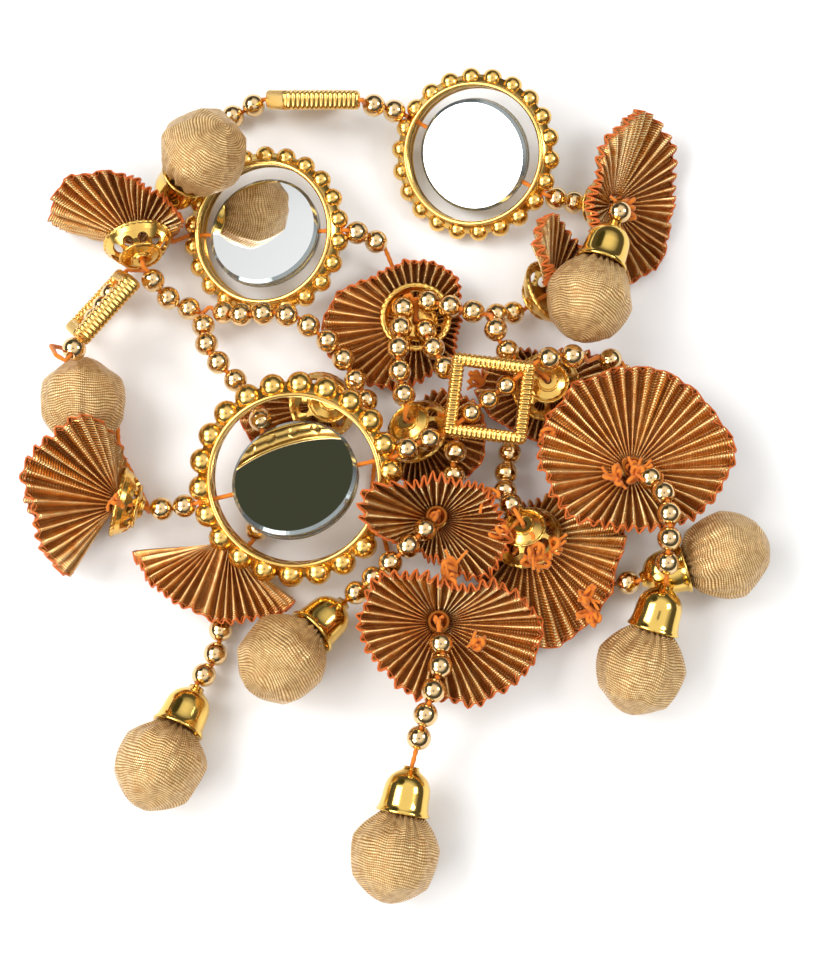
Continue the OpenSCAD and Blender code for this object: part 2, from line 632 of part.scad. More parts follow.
// Beads of the string through the two smaller medallions
module beads_upper() {
  color(gold)
    string_beads(UPPER);
}

// Beads of the left strings
module beads_left() {
  color(gold) {
    string_beads([for (i = [0:6]) STRING_A[i]]);
    string_beads(STRING_B);
    string_beads(STRING_R);
  }
}

// Beads of the strings in the middle
module beads_centre() {
  color(gold) {
    string_beads(STRING_D1);
    string_beads([for (i = [0:2]) STRING_D2[i]]);
    string_beads([for (i = [0:4]) STRING_D3[i]]);
    string_beads(STRING_D4);
    string_beads([for (i = [0:2]) STRING_G[i]]);
  }
}

// Beads down to the three lower ball tassels
module beads_drops_low() {
  color(gold) {
    string_beads([STRING_A[8]]);
    string_beads([STRING_D2[3]]);
    string_beads([STRING_D3[5]]);
  }
}

// Beads down to the other ball tassels
module beads_drops_right() {
  color(gold) {
    string_beads([STRING_G[3]]);
    string_beads(STRING_6);
    string_beads(STRING_8);
  }
}

// Orange yarn through every string
module yarn() {
  color(orange)
    for (runs = [GARLAND, UPPER, STRING_A, STRING_B, STRING_R, STRING_D1, STRING_D2, STRING_D3, STRING_D4,
      STRING_G, STRING_6, STRING_8, STRING_2, STRING_1])
      tube(line(runs), yarn_d / 2);
}

medallion(0);  // medallion_main
medallion(1);  // medallion_left
medallion(2);  // medallion_top
mirror_disc(0);  // mirror_main
mirror_disc(1);  // mirror_left
mirror_disc(2);  // mirror_top
square_frame(0);  // square_centre
square_frame(1);  // square_left
square_frame(2);  // square_top
fan(0);  // fan_1
fan(1);  // fan_2
fan(2);  // fan_3
fan(3);  // fan_4
fan(4);  // fan_5
fan(5);  // fan_6
fan(6);  // fan_7
fan(7);  // fan_8
fan(8);  // fan_9
fan(9);  // fan_10
fan(10);  // fan_11
fan(11);  // fan_12
fan(12);  // fan_13
filigree_cap(0, 10);  // filigree_cap_1
filigree_cap(1, 10);  // filigree_cap_2
filigree_cap(3, 0);  // filigree_cap_4
filigree_cap(4, 0);  // filigree_cap_5
filigree_cap(5, 10);  // filigree_cap_6
filigree_cap(6, 0);  // filigree_cap_7
filigree_cap(7, 10);  // filigree_cap_8
filigree_cup();  // filigree_cup_9
filigree_cap(9, 10);  // filigree_cap_10
filigree_cap(10, 10);  // filigree_cap_11
filigree_cap(11, 10);  // filigree_cap_12
filigree_cap(12, 10);  // filigree_cap_13
hub_cones();
bell_cap(0);  // bell_cap_1
bell_cap(1);  // bell_cap_2
bell_cap(2);  // bell_cap_3
bell_cap(3);  // bell_cap_4
bell_cap(4);  // bell_cap_5
bell_cap(5);  // bell_cap_6
bell_cap(6);  // bell_cap_7
bell_cap(7);  // bell_cap_8
ball(0);  // ball_1
ball(1);  // ball_2
ball(2);  // ball_3
ball(3);  // ball_4
ball(4);  // ball_5
ball(5);  // ball_6
ball(6);  // ball_7
ball(7);  // ball_8
beads_garland();
beads_upper();
beads_left();
beads_centre();
beads_drops_low();
beads_drops_right();
yarn();
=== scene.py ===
"""Looks of a folk hair-braid tassel that lies in a loose heap on a white table."""
import math
import random

import bmesh
import bpy
import numpy as np
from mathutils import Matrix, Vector


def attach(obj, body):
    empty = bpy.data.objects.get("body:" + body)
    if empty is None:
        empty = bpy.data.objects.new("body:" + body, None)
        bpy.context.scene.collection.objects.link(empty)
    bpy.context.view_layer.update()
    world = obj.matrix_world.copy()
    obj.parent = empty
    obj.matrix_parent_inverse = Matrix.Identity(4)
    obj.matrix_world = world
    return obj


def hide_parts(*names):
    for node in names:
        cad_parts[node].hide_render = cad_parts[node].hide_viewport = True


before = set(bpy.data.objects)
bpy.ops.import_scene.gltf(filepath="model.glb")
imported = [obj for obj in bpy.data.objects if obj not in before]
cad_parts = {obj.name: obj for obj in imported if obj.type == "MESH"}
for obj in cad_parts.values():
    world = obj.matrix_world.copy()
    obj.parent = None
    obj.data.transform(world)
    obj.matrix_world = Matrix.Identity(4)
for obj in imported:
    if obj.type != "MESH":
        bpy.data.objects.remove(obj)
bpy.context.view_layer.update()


# Yarn
# Orange cotton yarn, two plies twisted together. It runs through every bead, mirror and cap and is
# knotted behind the fans. Sizes and places are millimetres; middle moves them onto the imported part.
middle = np.array([-1.16, -2.9, 0.0])
yarn_r = 0.7
cap_end = 8.2
bead_d = 6.4
frame_bead_d = 5.6
bead_play = 0.3
square_w = 22.4
ball_d = 24.4
bell_h = 12.4
main_ring_d, main_hole_d, main_mirror_d = 57, 44.5, 34
side_ring_d, side_hole_d, side_mirror_d = 47.5, 37.5, 31

# Rings: centre, compass angle of the yarn through it, facing, turn of the mirror, outer, hole and
# mirror diameters, radius of a dome
MEDALLIONS = [
  [[-25, -0.5, 16.5], 14, [-0.08, -0.28, 0.957], -35, main_ring_d, main_hole_d, main_mirror_d, 3.2],
  [[-34.5, 70.5, 10.5], 0, [-0.26, -0.2, 0.94], -16, side_ring_d, side_hole_d, side_mirror_d, 2.5],
  [[23.5, 93.5, 10.5], -31, [-0.25, -0.28, 0.93], 14, side_ring_d, side_hole_d, side_mirror_d, 2.5]
]

# Square frames: centre, way to the corner that the yarn leaves by, way to the next corner
SQUARES = [
  [[26.5, 20.6, 20.5], [0.79, 0.6, 0.12], [-0.6, 0.78, 0.17]],
  [[-78.5, 48.7, 12.7], [-0.28, -0.78, 0.56], [0.66, 0.26, 0.7]],
  [[-21.8, 108.6, 13.4], [0.88, -0.19, 0.43], [-0.47, -0.36, 0.81]]
]

# Fans: hub, compass angle and elevation of the axis; then, at each eighth of a turn, how steeply the
# ribbon rises and which share of its width shows
FANS = [
  [[-70, 69, 11.3], 105, -15,
    [34, 36, 46, 10, 9, 40, 66, 45], [0.88, 0.9, 0.64, 0.5, 0.42, 0.4, 0.7, 0.9]],
  [[-74, -5, 10.5], 168, 8,
    [24, 50, 64, 28, 10, 30, 78, 55], [0.85, 0.95, 1.05, 1, 0.2, 0.4, 0.95, 0.9]],
  [[-45.5, -17, 3.6], 253, 3,
    [27, 73, 80, 66, 25, 60, 90, 60], [0.9, 0.85, 0.8, 0.8, 0.8, 0.44, 0.35, 0.42]],
  [[13, -38, 10], -90, 90,
    [12, 52, 70, 45, 25, 25, 22, 15], [0.97, 0.6, 0.62, 0.76, 0.8, 0.77, 0.83, 0.92]],
  [[12.5, -10, 10.5], -90, 90,
    [32, 60, 70, 60, 50, 26, 36, 24], [0.66, 0.62, 0.58, 0.62, 1.04, 0.34, 0.5, 0.84]],
  [[37, -15.5, 9], -60, -65,
    [14, 20, 35, 24, 14, 12, 8, 8], [0.98, 0.9, 1.05, 1, 0.55, 0.4, 0.3, 0.5]],
  [[65, 3.5, 10], -90, 90,
    [20, 14, 10, 14, 20, 26, 34, 22], [1, 1, 1.02, 1, 0.95, 0.85, 0.72, 0.77]],
  [[62, 79, 8.9], -20, 35,
    [8, 10, 6, 8, 6, 10, 45, 30], [1, 0.78, 0.42, 0.42, 0.56, 0.86, 0.62, 0.7]],
  [[7, 46.5, 3.6], -90, 90,
    [22, 26, 28, 28, 8, 2, 10, 14], [0.4, 0.58, 0.6, 0.62, 0.92, 0.8, 0.6, 0.47]],
  [[42.5, 27, 7.5], -90, -90,
    [14, 12, 12, 12, 12, 12, 12, 14], [1, 0.8, 0.5, 0.5, 0.65, 0.5, 0.3, 0.55]],
  [[8, 14.5, 6.4], -30, -60,
    [14, 24, 36, 32, 16, 10, 10, 12], [0.5, 0.6, 0.65, 0.55, 0.4, 0.12, 0.12, 0.25]],
  [[45, 54.5, 8.8], 20, 42,
    [20, 40, 90, 90, 40, 30, 48, 35], [0.75, 0.2, 0.05, 0.05, 0.06, 0.3, 0.35, 0.5]],
  [[-19, 22.5, 4.6], 180, -70,
    [14, 26, 35, 24, 12, 10, 10, 12], [0.6, 0.7, 0.8, 0.3, 0.12, 0.1, 0.1, 0.14]]
]

# Ball tassels: centre, and the point that the bell cap looks at
BALLS = [
  [[-50.3, 88, 26.2], [-62.3, 80.5, 8.5]],
  [[-83, 22, 12.2], [-82, -1, 12]],
  [[-59.5, -75.5, 12.2], [-51, -55, 7]],
  [[-28, -48, 14.5], [-11.5, -31.5, 8]],
  [[1.5, -98.5, 12.2], [6, -75.5, 13.5]],
  [[66, -50.5, 12.2], [72.5, -29.5, 17]],
  [[89, -20, 12.2], [66, -26.5, 9]],
  [[53.5, 48, 21.5], [61, 70, 20.5]]
]


def unit(v):
    v = np.array(v, float)
    return v / np.linalg.norm(v)


def heading(az, el):
    """Direction from a compass angle and an elevation in degrees."""
    a, e = math.radians(az), math.radians(el)
    return np.array([math.cos(a) * math.cos(e), math.sin(a) * math.cos(e), math.sin(e)])


def side(n):
    """A level direction at right angles to n."""
    v = np.cross([0, 0, 1], n)
    return unit(v) if np.linalg.norm(v) > 0.001 else np.array([1.0, 0, 0])


def fan_axis(f):
    return heading(FANS[f][1], FANS[f][2])


def hub(f, t):
    """Point on a fan's axis, t outward from its hub."""
    return FANS[f][0] + fan_axis(f) * t


def ball_axis(b):
    return unit(np.array(BALLS[b][1]) - BALLS[b][0])


def ball_tip(b):
    return BALLS[b][0] + ball_axis(b) * (ball_d / 2 - 1.5 + bell_h)


def ring_x(m):
    """Way of the yarn through a ring."""
    h, n = heading(MEDALLIONS[m][1], 0), unit(MEDALLIONS[m][2])
    return unit(h - n * (h @ n))


def ring_exit(m, s):
    row = MEDALLIONS[m]
    return row[0] + ring_x(m) * s * (row[4] / 2 - row[7] * 0.33)


def corner(q, s):
    return SQUARES[q][0] + unit(SQUARES[q][1]) * s * (square_w * 0.707 + 0.3)


def along(q, s):
    return SQUARES[q][0] + unit(SQUARES[q][1]) * s


def between(p0, p1, p2, p3, t):
    """Smooth value between p1 and p2."""
    a, b = 2 * p0 - 5 * p1 + 4 * p2 - p3, 3 * p1 - p0 - 3 * p2 + p3
    return 0.5 * (2 * p1 + (p2 - p0) * t + a * t * t + b * t ** 3)


def smooth(route, steps=8):
    p = [np.array(q, float) for q in route]
    last = len(p) - 1
    out = []
    for i in range(last):
        for k in range(steps):
            out.append(between(p[max(i - 1, 0)], p[i], p[i + 1], p[min(i + 2, last)], k / steps))
    return out + [p[last]]


def stops(run):
    """Ends of the beads of one run, or the points of bare yarn."""
    size, count, route = run
    if count == 0:
        return [np.array(q, float) for q in route]
    d = size + bead_play
    p = smooth(route)
    k, out = 0, [p[0]]
    while len(out) <= count:
        a = out[-1]
        while k < len(p) - 1 and np.linalg.norm(p[k + 1] - a) < d:
            k += 1
        if k > len(p) - 2:
            out.append(a + unit(p[-1] - p[-2]) * d)
            continue
        v, w = unit(p[k + 1] - p[k]), a - p[k]
        h = w @ v
        out.append(p[k] + v * (h + math.sqrt(max(0, h * h - w @ w + d * d))))
    return out


def last_stop(run):
    return stops(run)[-1]


# Strings are lists of runs, and a run is a bead diameter, a bead count and a route. A count of 0 is
# bare yarn through those points.
GARLAND = [
  [0, 0, [hub(1, 2), hub(1, -cap_end - 1.5)]],
  [bead_d, 2, [hub(1, -cap_end - 1.5), [-58.5, -7, 9.5], ring_exit(0, -1)]],
  [0, 0, [ring_exit(0, -1), ring_exit(0, 1)]],
  [bead_d, 2, [ring_exit(0, 1) + [0.3, 0.1, 0.1], [7.5, 8.5, 20.8], corner(0, -1)]],
  [0, 0, [corner(0, -1)]],
  [frame_bead_d, 3, [along(0, -9), along(0, 9)]],
  [0, 0, [corner(0, 1)]],
  [bead_d, 2, [corner(0, 1), [44, 32, 22], [51, 32.5, 20]]],
  [0, 0, [[53.5, 33, 13]]],
  [bead_d, 1, [[57, 35.5, 8.8], [64, 34, 7.8]]],
  [0, 0, [[66.5, 27, 6], [67.5, 18, 5], [66, 11, 4], [65, 7, 1], [65, 3.5, 1], [65, 3.5, 15]]]
]
UPPER = [
  [0, 0, [hub(7, 2), hub(7, -cap_end - 1.7)]],
  [bead_d, 2, [hub(7, -cap_end - 1.7), [49, 81.5, 5.5], ring_exit(2, 1)]],
  [0, 0, [ring_exit(2, 1), ring_exit(2, -1)]],
  [bead_d, 2, [ring_exit(2, -1) + [-0.3, 0.2, 0], [-0.5, 107, 11], [-6, 106.5, 15]]],
  [0, 0, [corner(2, 1)]],
  [frame_bead_d, 3, [along(2, 9), along(2, -9)]],
  [0, 0, [corner(2, -1)]],
  [bead_d, 2, [corner(2, -1), [-41.5, 109, 4.5], [-48, 106, 4]]],
  [0, 0, [[-53, 98, 1], [-60, 88, 1], [-62.5, 78, 1], [-61.5, 71, 1.5], ring_exit(1, -1), ring_exit(1, 1)]],
  [bead_d, 2, [ring_exit(1, 1) + [0.4, 0, 0], [-6, 69, 12.5], [-1, 66.5, 8]]],
  [0, 0, [[1, 62, 3], [4, 54, 1], [7, 46.5, 1], [7, 46.5, 6]]]
]
A_TOP = [bead_d, 3, [hub(0, -cap_end - 2.2) + [0.8, -0.4, -0.8], [-64, 54.5, 10], [-59.5, 51.5, 6],
  [-53.5, 50, 3.5]]]
knot_a = last_stop(A_TOP) + [0.6, -0.6, 0.6]
STRING_A = [
  [0, 0, [hub(0, 2), hub(0, -cap_end - 2.2)]],
  A_TOP,
  [bead_d, 5, [last_stop(A_TOP) + [1.2, -2.2, 2.4], [-51.5, 43, 8.5], [-50.5, 38.5, 10],
    [-48, 34.5, 11], [-45, 31.5, 10.5], [-41, 27.5, 9.5]]],
  [0, 0, [[-34.5, 21, 7]]],
  [bead_d, 1, [[-35.5, 20.5, 11], [-34.5, 14.5, 11.5]]],
  [0, 0, [[-34.5, 12, 8.5], [-34.5, 6, 6], [-35, -4, 5]]],
  [bead_d, 1, [[-35, -8.5, 4.5], [-37, -15, 5]]],
  [0, 0, [[-39, -17, 5], [-45, -16.5, 5], [-45.5, -19, 4.6], [-46, -24, 5]]],
  [bead_d, 4, [[-46, -29, 4.5], [-45, -35, 4], [-45.5, -42, 4], [-47.5, -49, 5], [-50.5, -53.5, 6.5]]],
  [0, 0, [ball_tip(2), ball_tip(2) - ball_axis(2) * 9]]
]
STRING_B = [
  [0, 0, [knot_a, knot_a + [1.8, 1.8, 0]]],
  [bead_d, 9, [knot_a + [4.2, 0.7, 1.2], [-44.5, 47.5, 9], [-40, 46.5, 11.5], [-36, 46.5, 13.5],
    [-31, 46.5, 14], [-24.5, 45, 13.5], [-19.5, 41, 12.5], [-14, 37, 10.5], [-11, 31.5, 9.5],
    [-7.5, 25.5, 9.5], [-6, 22, 10]]],
  [0, 0, [[-6.5, 18.5, 13], hub(12, -cap_end - 2), hub(12, 2)]]
]
STRING_R = [
  [0, 0, [hub(0, -cap_end - 0.9), [-67.4, 59.8, 10], [-69.5, 61, 6.5],
    along(1, -17.5), corner(1, -1)]],
  [frame_bead_d, 3, [along(1, -9), along(1, 9)]],
  [0, 0, [corner(1, 1)]],
  [bead_d, 1, [corner(1, 1), [-84.5, 31, 25.5]]],
  [0, 0, [[-85.5, 29.5, 26.5], [-88, 31, 26.5], [-91, 36, 18], [-89, 38.5, 6], [-85, 37, 1], [-76, 27, 1],
    [-75, 16, 1], [-74.5, 11, 1], [-71, 5, 1], [-68, -1, 1], [-66, -5, 1], [-65.2, -6.9, 4.5],
    hub(1, -cap_end - 0.75)]]
]
D1_TOP = [bead_d, 3, [[7.6, 51.6, 10.2], [11, 50.5, 12], [15, 48.5, 14], [20.5, 47, 15], [25.5, 46, 14.5]]]
knot_d = last_stop(D1_TOP) + [0.7, 0.1, -0.6]
STRING_D1 = [
  [0, 0, [[7, 46.5, 6], [7, 46.5, 8], [7, 50.5, 9], [6.9, 51.9, 9.8]]],
  D1_TOP,
  [bead_d, 2, [last_stop(D1_TOP) + [1.4, 0.2, -1.2], [30, 47.5, 8.5], [34.5, 49, 5.5], [39, 51, 4]]],
  [0, 0, [hub(11, -cap_end - 0.3), hub(11, 2)]]
]
STRING_D2 = [
  [0, 0, [[7, 46.5, 6], [7, 46.5, 8], [6.8, 50.5, 9.2], [5.5, 52.8, 10.2], [4, 52.2, 10.2]]],
  [bead_d, 5, [[3.7, 51.8, 10.2], [3.5, 48.5, 11], [3, 42.5, 13.5], [2, 36.5, 16],
    [2.5, 30, 16], [3.5, 24, 16], [4.5, 19.5, 16.5]]],
  [0, 0, [hub(10, -cap_end - 1), hub(10, 2.5), [4, 12, 1], [-4, 11, 1], [-5, 0, 1], [0, -20, 1],
    [6, -33, 1], [13, -38, 1], [13, -38, 16]]],
  [bead_d, 5, [[13, -41.5, 17.5], [14, -47, 20], [12.5, -54, 22], [10.5, -60, 22.5],
    [8.5, -66, 20], [7, -72, 16]]],
  [0, 0, [ball_tip(4), ball_tip(4) - ball_axis(4) * 9]]
]
STRING_D3 = [
  [0, 0, [[7, 46.5, 6], [7, 46.5, 7.5]]],
  [bead_d, 3, [[9, 45, 9], [9.5, 41.5, 11.5], [11.5, 37, 14], [14.5, 31.5, 14.5]]],
  [0, 0, [[16, 20, 10.5], [17.5, 12, 13.5]]],
  [bead_d, 2, [[18, 11, 14.5], [17, 4.5, 13], [17, -0.5, 9.5]]],
  [0, 0, [[16.5, -1.5, 5.5], [14, -5, 2.5], [13, -8, 1], [12.5, -10, 1], [12.5, -10, 16]]],
  [bead_d, 5, [[11.5, -12, 17], [8, -16, 19.5], [3, -21, 19.5], [-1.5, -24.5, 16.5],
    [-6, -28, 13], [-10.5, -31, 9.5]]],
  [0, 0, [ball_tip(3), ball_tip(3) - ball_axis(3) * 9]]
]
STRING_D4 = [
  [0, 0, [knot_d, knot_d + [0.9, -1, 1.6]]],
  [bead_d, 2, [knot_d + [1, -1.8, 2.6], [29.5, 38.5, 15], [33, 34, 13.5]]],
  [0, 0, [[38, 31, 17], hub(9, -cap_end - 1.5), hub(9, -cap_end)]]
]
STRING_G = [
  [0, 0, [hub(9, -cap_end - 0.6), hub(9, 3), [38, 20, 1.5], [33.5, 15, 2.5]]],
  [bead_d, 4, [[33, 12.5, 4], [32, 5.5, 6.5], [30.5, -1, 9.5], [31.5, -5.5, 13.5], [33, -9, 17.5]]],
  [0, 0, [hub(5, -cap_end - 1), hub(5, 3), [50, -21, 1], [60, -26, 1]]],
  [bead_d, 1, [[61.5, -26.5, 4], [66.5, -26.5, 9]]],
  [0, 0, [ball_tip(6), ball_tip(6) - ball_axis(6) * 9]]
]
STRING_6 = [
  [0, 0, [hub(6, 4), hub(6, 5.5)]],
  [bead_d, 5, [[67, 1.5, 17], [71, -2.5, 20.5], [73, -9, 24.5], [73, -15.5, 25],
    [72.5, -22, 23.5], [72.5, -28.5, 18]]],
  [0, 0, [ball_tip(5), ball_tip(5) - ball_axis(5) * 9]]
]
STRING_8 = [
  [0, 0, [hub(7, 1), hub(7, 5.2), [65, 77.5, 17]]],
  [bead_d, 1, [[63.4, 76.1, 20.5], [61.3, 69.8, 20.4]]],
  [0, 0, [ball_tip(7), ball_tip(7) - ball_axis(7) * 9]]
]
STRING_2 = [
  [0, 0, [hub(1, 2), [-80, -4.5, 11.5], ball_tip(1) - [0, 1, 0], ball_tip(1) - ball_axis(1) * 9]]
]
STRING_1 = [
  [0, 0, [hub(0, 2), hub(0, 5), ball_tip(0) + ball_axis(0), ball_tip(0) - ball_axis(0) * 9]]
]


def piece(name, verts, faces, mat, slot, stands_for=(), uv=None, turn=None):
    """Mesh object from millimetre points in the heap's own place, riding the one body."""
    mesh = bpy.data.meshes.new(name)
    pts = (np.asarray(verts, float) + middle) * 0.001
    mesh.from_pydata(pts.tolist(), [], [list(map(int, f)) for f in faces])
    work = bmesh.new()
    work.from_mesh(mesh)
    bmesh.ops.recalc_face_normals(work, faces=work.faces)
    work.to_mesh(mesh)
    work.free()
    if uv is not None:
        layer = mesh.uv_layers.new(name="uv")
        loops = np.zeros(len(mesh.loops), np.int32)
        mesh.loops.foreach_get("vertex_index", loops)
        corners = np.asarray(uv, np.float32)[loops]
        for poly in mesh.polygons if turn else ():
            k = list(poly.loop_indices)
            if np.ptp(corners[k, 0]) > turn / 2:
                corners[k, 0] += turn * (corners[k, 0] < turn / 2)
        layer.data.foreach_set("uv", corners.ravel())
    mesh.polygons.foreach_set("use_smooth", [True] * len(mesh.polygons))
    mesh.materials.append(mat)
    obj = bpy.data.objects.new(name, mesh)
    bpy.context.collection.objects.link(obj)
    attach(obj, "root")
    if stands_for:
        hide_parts(*stands_for)
    return obj


def joined(parts):
    """One list of points and faces from several."""
    verts, faces, n = [], [], 0
    for points, its_faces in parts:
        verts.append(np.asarray(points, float))
        faces += [[i + n for i in f] for f in its_faces]
        n += len(points)
    return np.vstack(verts), faces


plies_per_mm = 1.8


def tube(route, r, sides=8, ply=0.0):
    """Round tube along points; ply twists a two-strand shape into it."""
    q = [np.array(route[0], float)]
    for p in route[1:]:
        if np.linalg.norm(p - q[-1]) > 0.25:
            q.append(np.array(p, float))
    m = len(q)
    t = [unit(q[min(i + 1, m - 1)] - q[max(i - 1, 0)]) for i in range(m)]
    u, ring, run = side(t[0]), [], 0.0
    for i in range(m):
        u = unit(u - t[i] * (u @ t[i]))
        w = np.cross(t[i], u)
        run += np.linalg.norm(q[i] - q[i - 1]) if i else 0
        for k in range(sides):
            a = 2 * math.pi * k / sides
            rr = r * (1 - ply + ply * math.cos(a - run * plies_per_mm) ** 2)
            ring.append(q[i] + rr * (u * math.cos(a) + w * math.sin(a)))
    faces = [[i * sides + k, (i + 1) * sides + k, (i + 1) * sides + (k + 1) % sides,
              i * sides + (k + 1) % sides] for i in range(m - 1) for k in range(sides)]
    faces += [list(range(sides)), [(m - 1) * sides + k for k in reversed(range(sides))]]
    return np.array(ring), faces


def finer(points, step=0.9):
    out = [points[0]]
    for a, b in zip(points, points[1:]):
        n = max(1, int(np.linalg.norm(b - a) / step))
        out += [a + (b - a) * (i + 1) / n for i in range(n)]
    return out


def new_material(name, base, metallic, roughness):
    mat = bpy.data.materials.new(name)
    mat.use_nodes = True
    shader = mat.node_tree.nodes["Principled BSDF"]
    shader.inputs["Base Color"].default_value = (*base, 1)
    shader.inputs["Metallic"].default_value = metallic
    shader.inputs["Roughness"].default_value = roughness
    return mat, mat.node_tree, shader


yarn_mat, tree, shader = new_material("orange_yarn", (0.80, 0.33, 0.035), 0.0, 0.85)
shader.inputs["Sheen Weight"].default_value = 0.15
ply_noise = tree.nodes.new("ShaderNodeTexNoise")
ply_noise.inputs["Scale"].default_value = 900
ply_mix = tree.nodes.new("ShaderNodeMix")
ply_mix.data_type = "RGBA"
ply_mix.inputs["A"].default_value = (0.58, 0.11, 0.004, 1)
ply_mix.inputs["B"].default_value = (0.90, 0.29, 0.012, 1)
tree.links.new(ply_noise.outputs["Fac"], ply_mix.inputs["Factor"])
tree.links.new(ply_mix.outputs["Result"], shader.inputs["Base Color"])

STRINGS = [GARLAND, UPPER, STRING_A, STRING_B, STRING_R, STRING_D1, STRING_D2, STRING_D3,
           STRING_D4, STRING_G, STRING_6, STRING_8, STRING_2, STRING_1]
parts = []
for runs in STRINGS:
    line = [p for run in runs for p in stops(run)]
    parts.append(tube(finer(line), yarn_r, 8, 0.3))
piece("yarn_threads", *joined(parts), yarn_mat, "yarn", ["yarn"])

# Knots with loose ends: place, the way they stand, number of loops and of ends, length
TUFTS = [
    ([60.5, 0, 15], [-0.7, 0.4, 0.6], 5, 9), ([66, 0, 16], [-0.4, 0.3, 0.7], 5, 9),
    ([72, -2, 14], [0.2, 0.7, 0.5], 3, 7), ([54, -35, 10], [-0.6, -0.3, 0.6], 6, 8),
    ([52, -32, 12], [0.5, 0.4, 0.6], 5, 8), ([25, -3.5, 17], [0.4, -0.6, 0.5], 4, 8),
    ([34, -16, 13], [0.5, -0.4, 0.6], 5, 9), ([41, -18, 12], [0.7, -0.5, 0.5], 5, 9),
    ([17, -26, 20], [-0.3, 0.4, 0.7], 4, 8), ([15, -28, 19], [0.7, 0.3, 0.5], 4, 8),
    ([22, -45, 16], [0.5, 0.2, 0.7], 4, 8), ([62, 75, 15], [0.9, 0.1, 0.3], 3, 11),
    ([-72, -6, 18], [-0.4, 0.2, 0.8], 3, 7), ([-86, -16, 9], [-0.5, -0.5, 0.5], 4, 8),
    ([44, 13, 13], [-0.6, 0.2, 0.6], 4, 8), ([25, 27, 12], [-0.5, 0.5, 0.6], 3, 8),
    ([38, -22, 14], [0.2, 0.5, 0.8], 5, 10), ([31, -15, 15], [-0.3, 0.4, 0.8], 4, 8)
]
rng = random.Random(5)


def loop(at, n, d, r):
    """One slack loop of yarn, d long, that stands out of a knot along n."""
    tilt = unit(n + np.array([rng.uniform(-0.9, 0.9) for _ in range(3)]))
    u = unit(np.cross(tilt, [rng.uniform(-1, 1) for _ in range(3)]))
    w = np.cross(tilt, u) * rng.uniform(0.3, 0.6)
    twist = rng.uniform(-0.5, 0.5)
    route = []
    for k in range(17):
        t = 2 * math.pi * k / 16
        route.append(np.array(at) + d * ((1 - math.cos(t)) / 2 * tilt + math.sin(t) / 2 * w
                                         + twist * math.sin(2 * t) / 4 * np.cross(tilt, w)))
    return tube(route, r, 6, 0.3)


parts = []
for at, way, count, length in TUFTS:
    n = unit(way)
    for k in range(count):
        parts.append(loop(at, n, rng.uniform(0.35, 0.65) * length, yarn_r))
    for k in range(count):
        a = [rng.uniform(-1, 1) for _ in range(9)]
        route, p, v = [], np.array(at, float) + np.array(a[:3]) * 0.5, unit(n + np.array(a[3:6]) * 0.7)
        turn = np.array(a[6:9]) * 0.35
        for _ in range(int(length * rng.uniform(0.5, 1) / 0.5)):
            route.append(p.copy())
            p = p + v * 0.5
            v = unit(v + turn)
        parts.append(tube(route, 0.5, 6, 0.35))
hub_loop = 3.4
for f in range(len(FANS)):
    for k in range(4):
        parts.append(loop(hub(f, 0.8), fan_axis(f), hub_loop, 0.6))
piece("yarn_tufts", *joined(parts), yarn_mat, "yarn")


# Bead strings
# Hollow round beads pressed from thin metal, plated pale rose gold and polished to a mirror. Each has
# a small round hole at both ends, and the yarn runs through.
def turned(profile, n=48, closed=True):
    """Solid of revolution about Z from (radius, height) points."""
    verts = [[r * math.cos(2 * math.pi * k / n), r * math.sin(2 * math.pi * k / n), z]
             for r, z in profile for k in range(n)]
    m = len(profile)
    faces = [[j * n + k, j * n + (k + 1) % n, ((j + 1) % m) * n + (k + 1) % n,
              ((j + 1) % m) * n + k] for j in range(m if closed else m - 1) for k in range(n)]
    return np.array(verts), faces


def put(part, centre, x, z):
    """Points and faces of a part, with its X and Z turned to x and z."""
    v = np.asarray(part[0])
    y = np.cross(z, x)
    return np.asarray(centre) + v[:, :1] * x + v[:, 1:2] * y + v[:, 2:3] * z, part[1]


def bead(d, bore=1.9):
    """Hollow bead along Z, closed on the inside of its hole."""
    r, lip = d / 2, math.asin(bore / d)
    arc = [lip + (math.pi - 2 * lip) * i / 15 for i in range(16)]
    outer = [(r * math.sin(a), -r * math.cos(a)) for a in arc]
    inner = [(bore / 2 - 0.12, outer[-1][1] - 0.3), (bore / 2 - 0.12, outer[0][1] + 0.3)]
    return turned(outer + inner, 28)


def string_beads(runs):
    parts = []
    for run in runs:
        if run[1]:
            p = stops(run)
            shape = bead(run[0])
            for a, b in zip(p, p[1:]):
                z = unit(b - a)
                parts.append(put(shape, (a + b) / 2, side(z), z))
    return parts


bead_mat, tree, shader = new_material("rose_gold_beads", (0.82, 0.57, 0.28), 1.0, 0.09)
BEAD_GROUPS = [
    ("garland", GARLAND), ("upper", UPPER),
    ("left", STRING_A[:7] + STRING_B + STRING_R),
    ("centre", STRING_D1 + STRING_D2[:3] + STRING_D3[:5] + STRING_D4 + STRING_G[:3]),
    ("drops_low", [STRING_A[8], STRING_D2[3], STRING_D3[5]]),
    ("drops_right", [STRING_G[3]] + STRING_6 + STRING_8),
]
for name, runs in BEAD_GROUPS:
    piece("string_" + name, *joined(string_beads(runs)), bead_mat, "bead_gold", ["beads_" + name])


# Medallions
# Cast rings, gold plated. A crown of 22 hollow domes stands around a smooth bright rim, with a small
# granule on either face between each two domes.
gold_mat, tree, shader = new_material("yellow_gold", (0.86, 0.54, 0.15), 1.0, 0.2)


def ball_part(r, at, rings=10, n=20):
    prof = [(r * math.sin(math.pi * (i + 0.5) / rings), r * math.cos(math.pi * (i + 0.5) / rings))
            for i in range(rings)]
    v, f = turned(prof, n, False)
    f = f + [list(range(n)), [(rings - 1) * n + k for k in reversed(range(n))]]
    return v + np.array(at), [list(reversed(q)) for q in f]


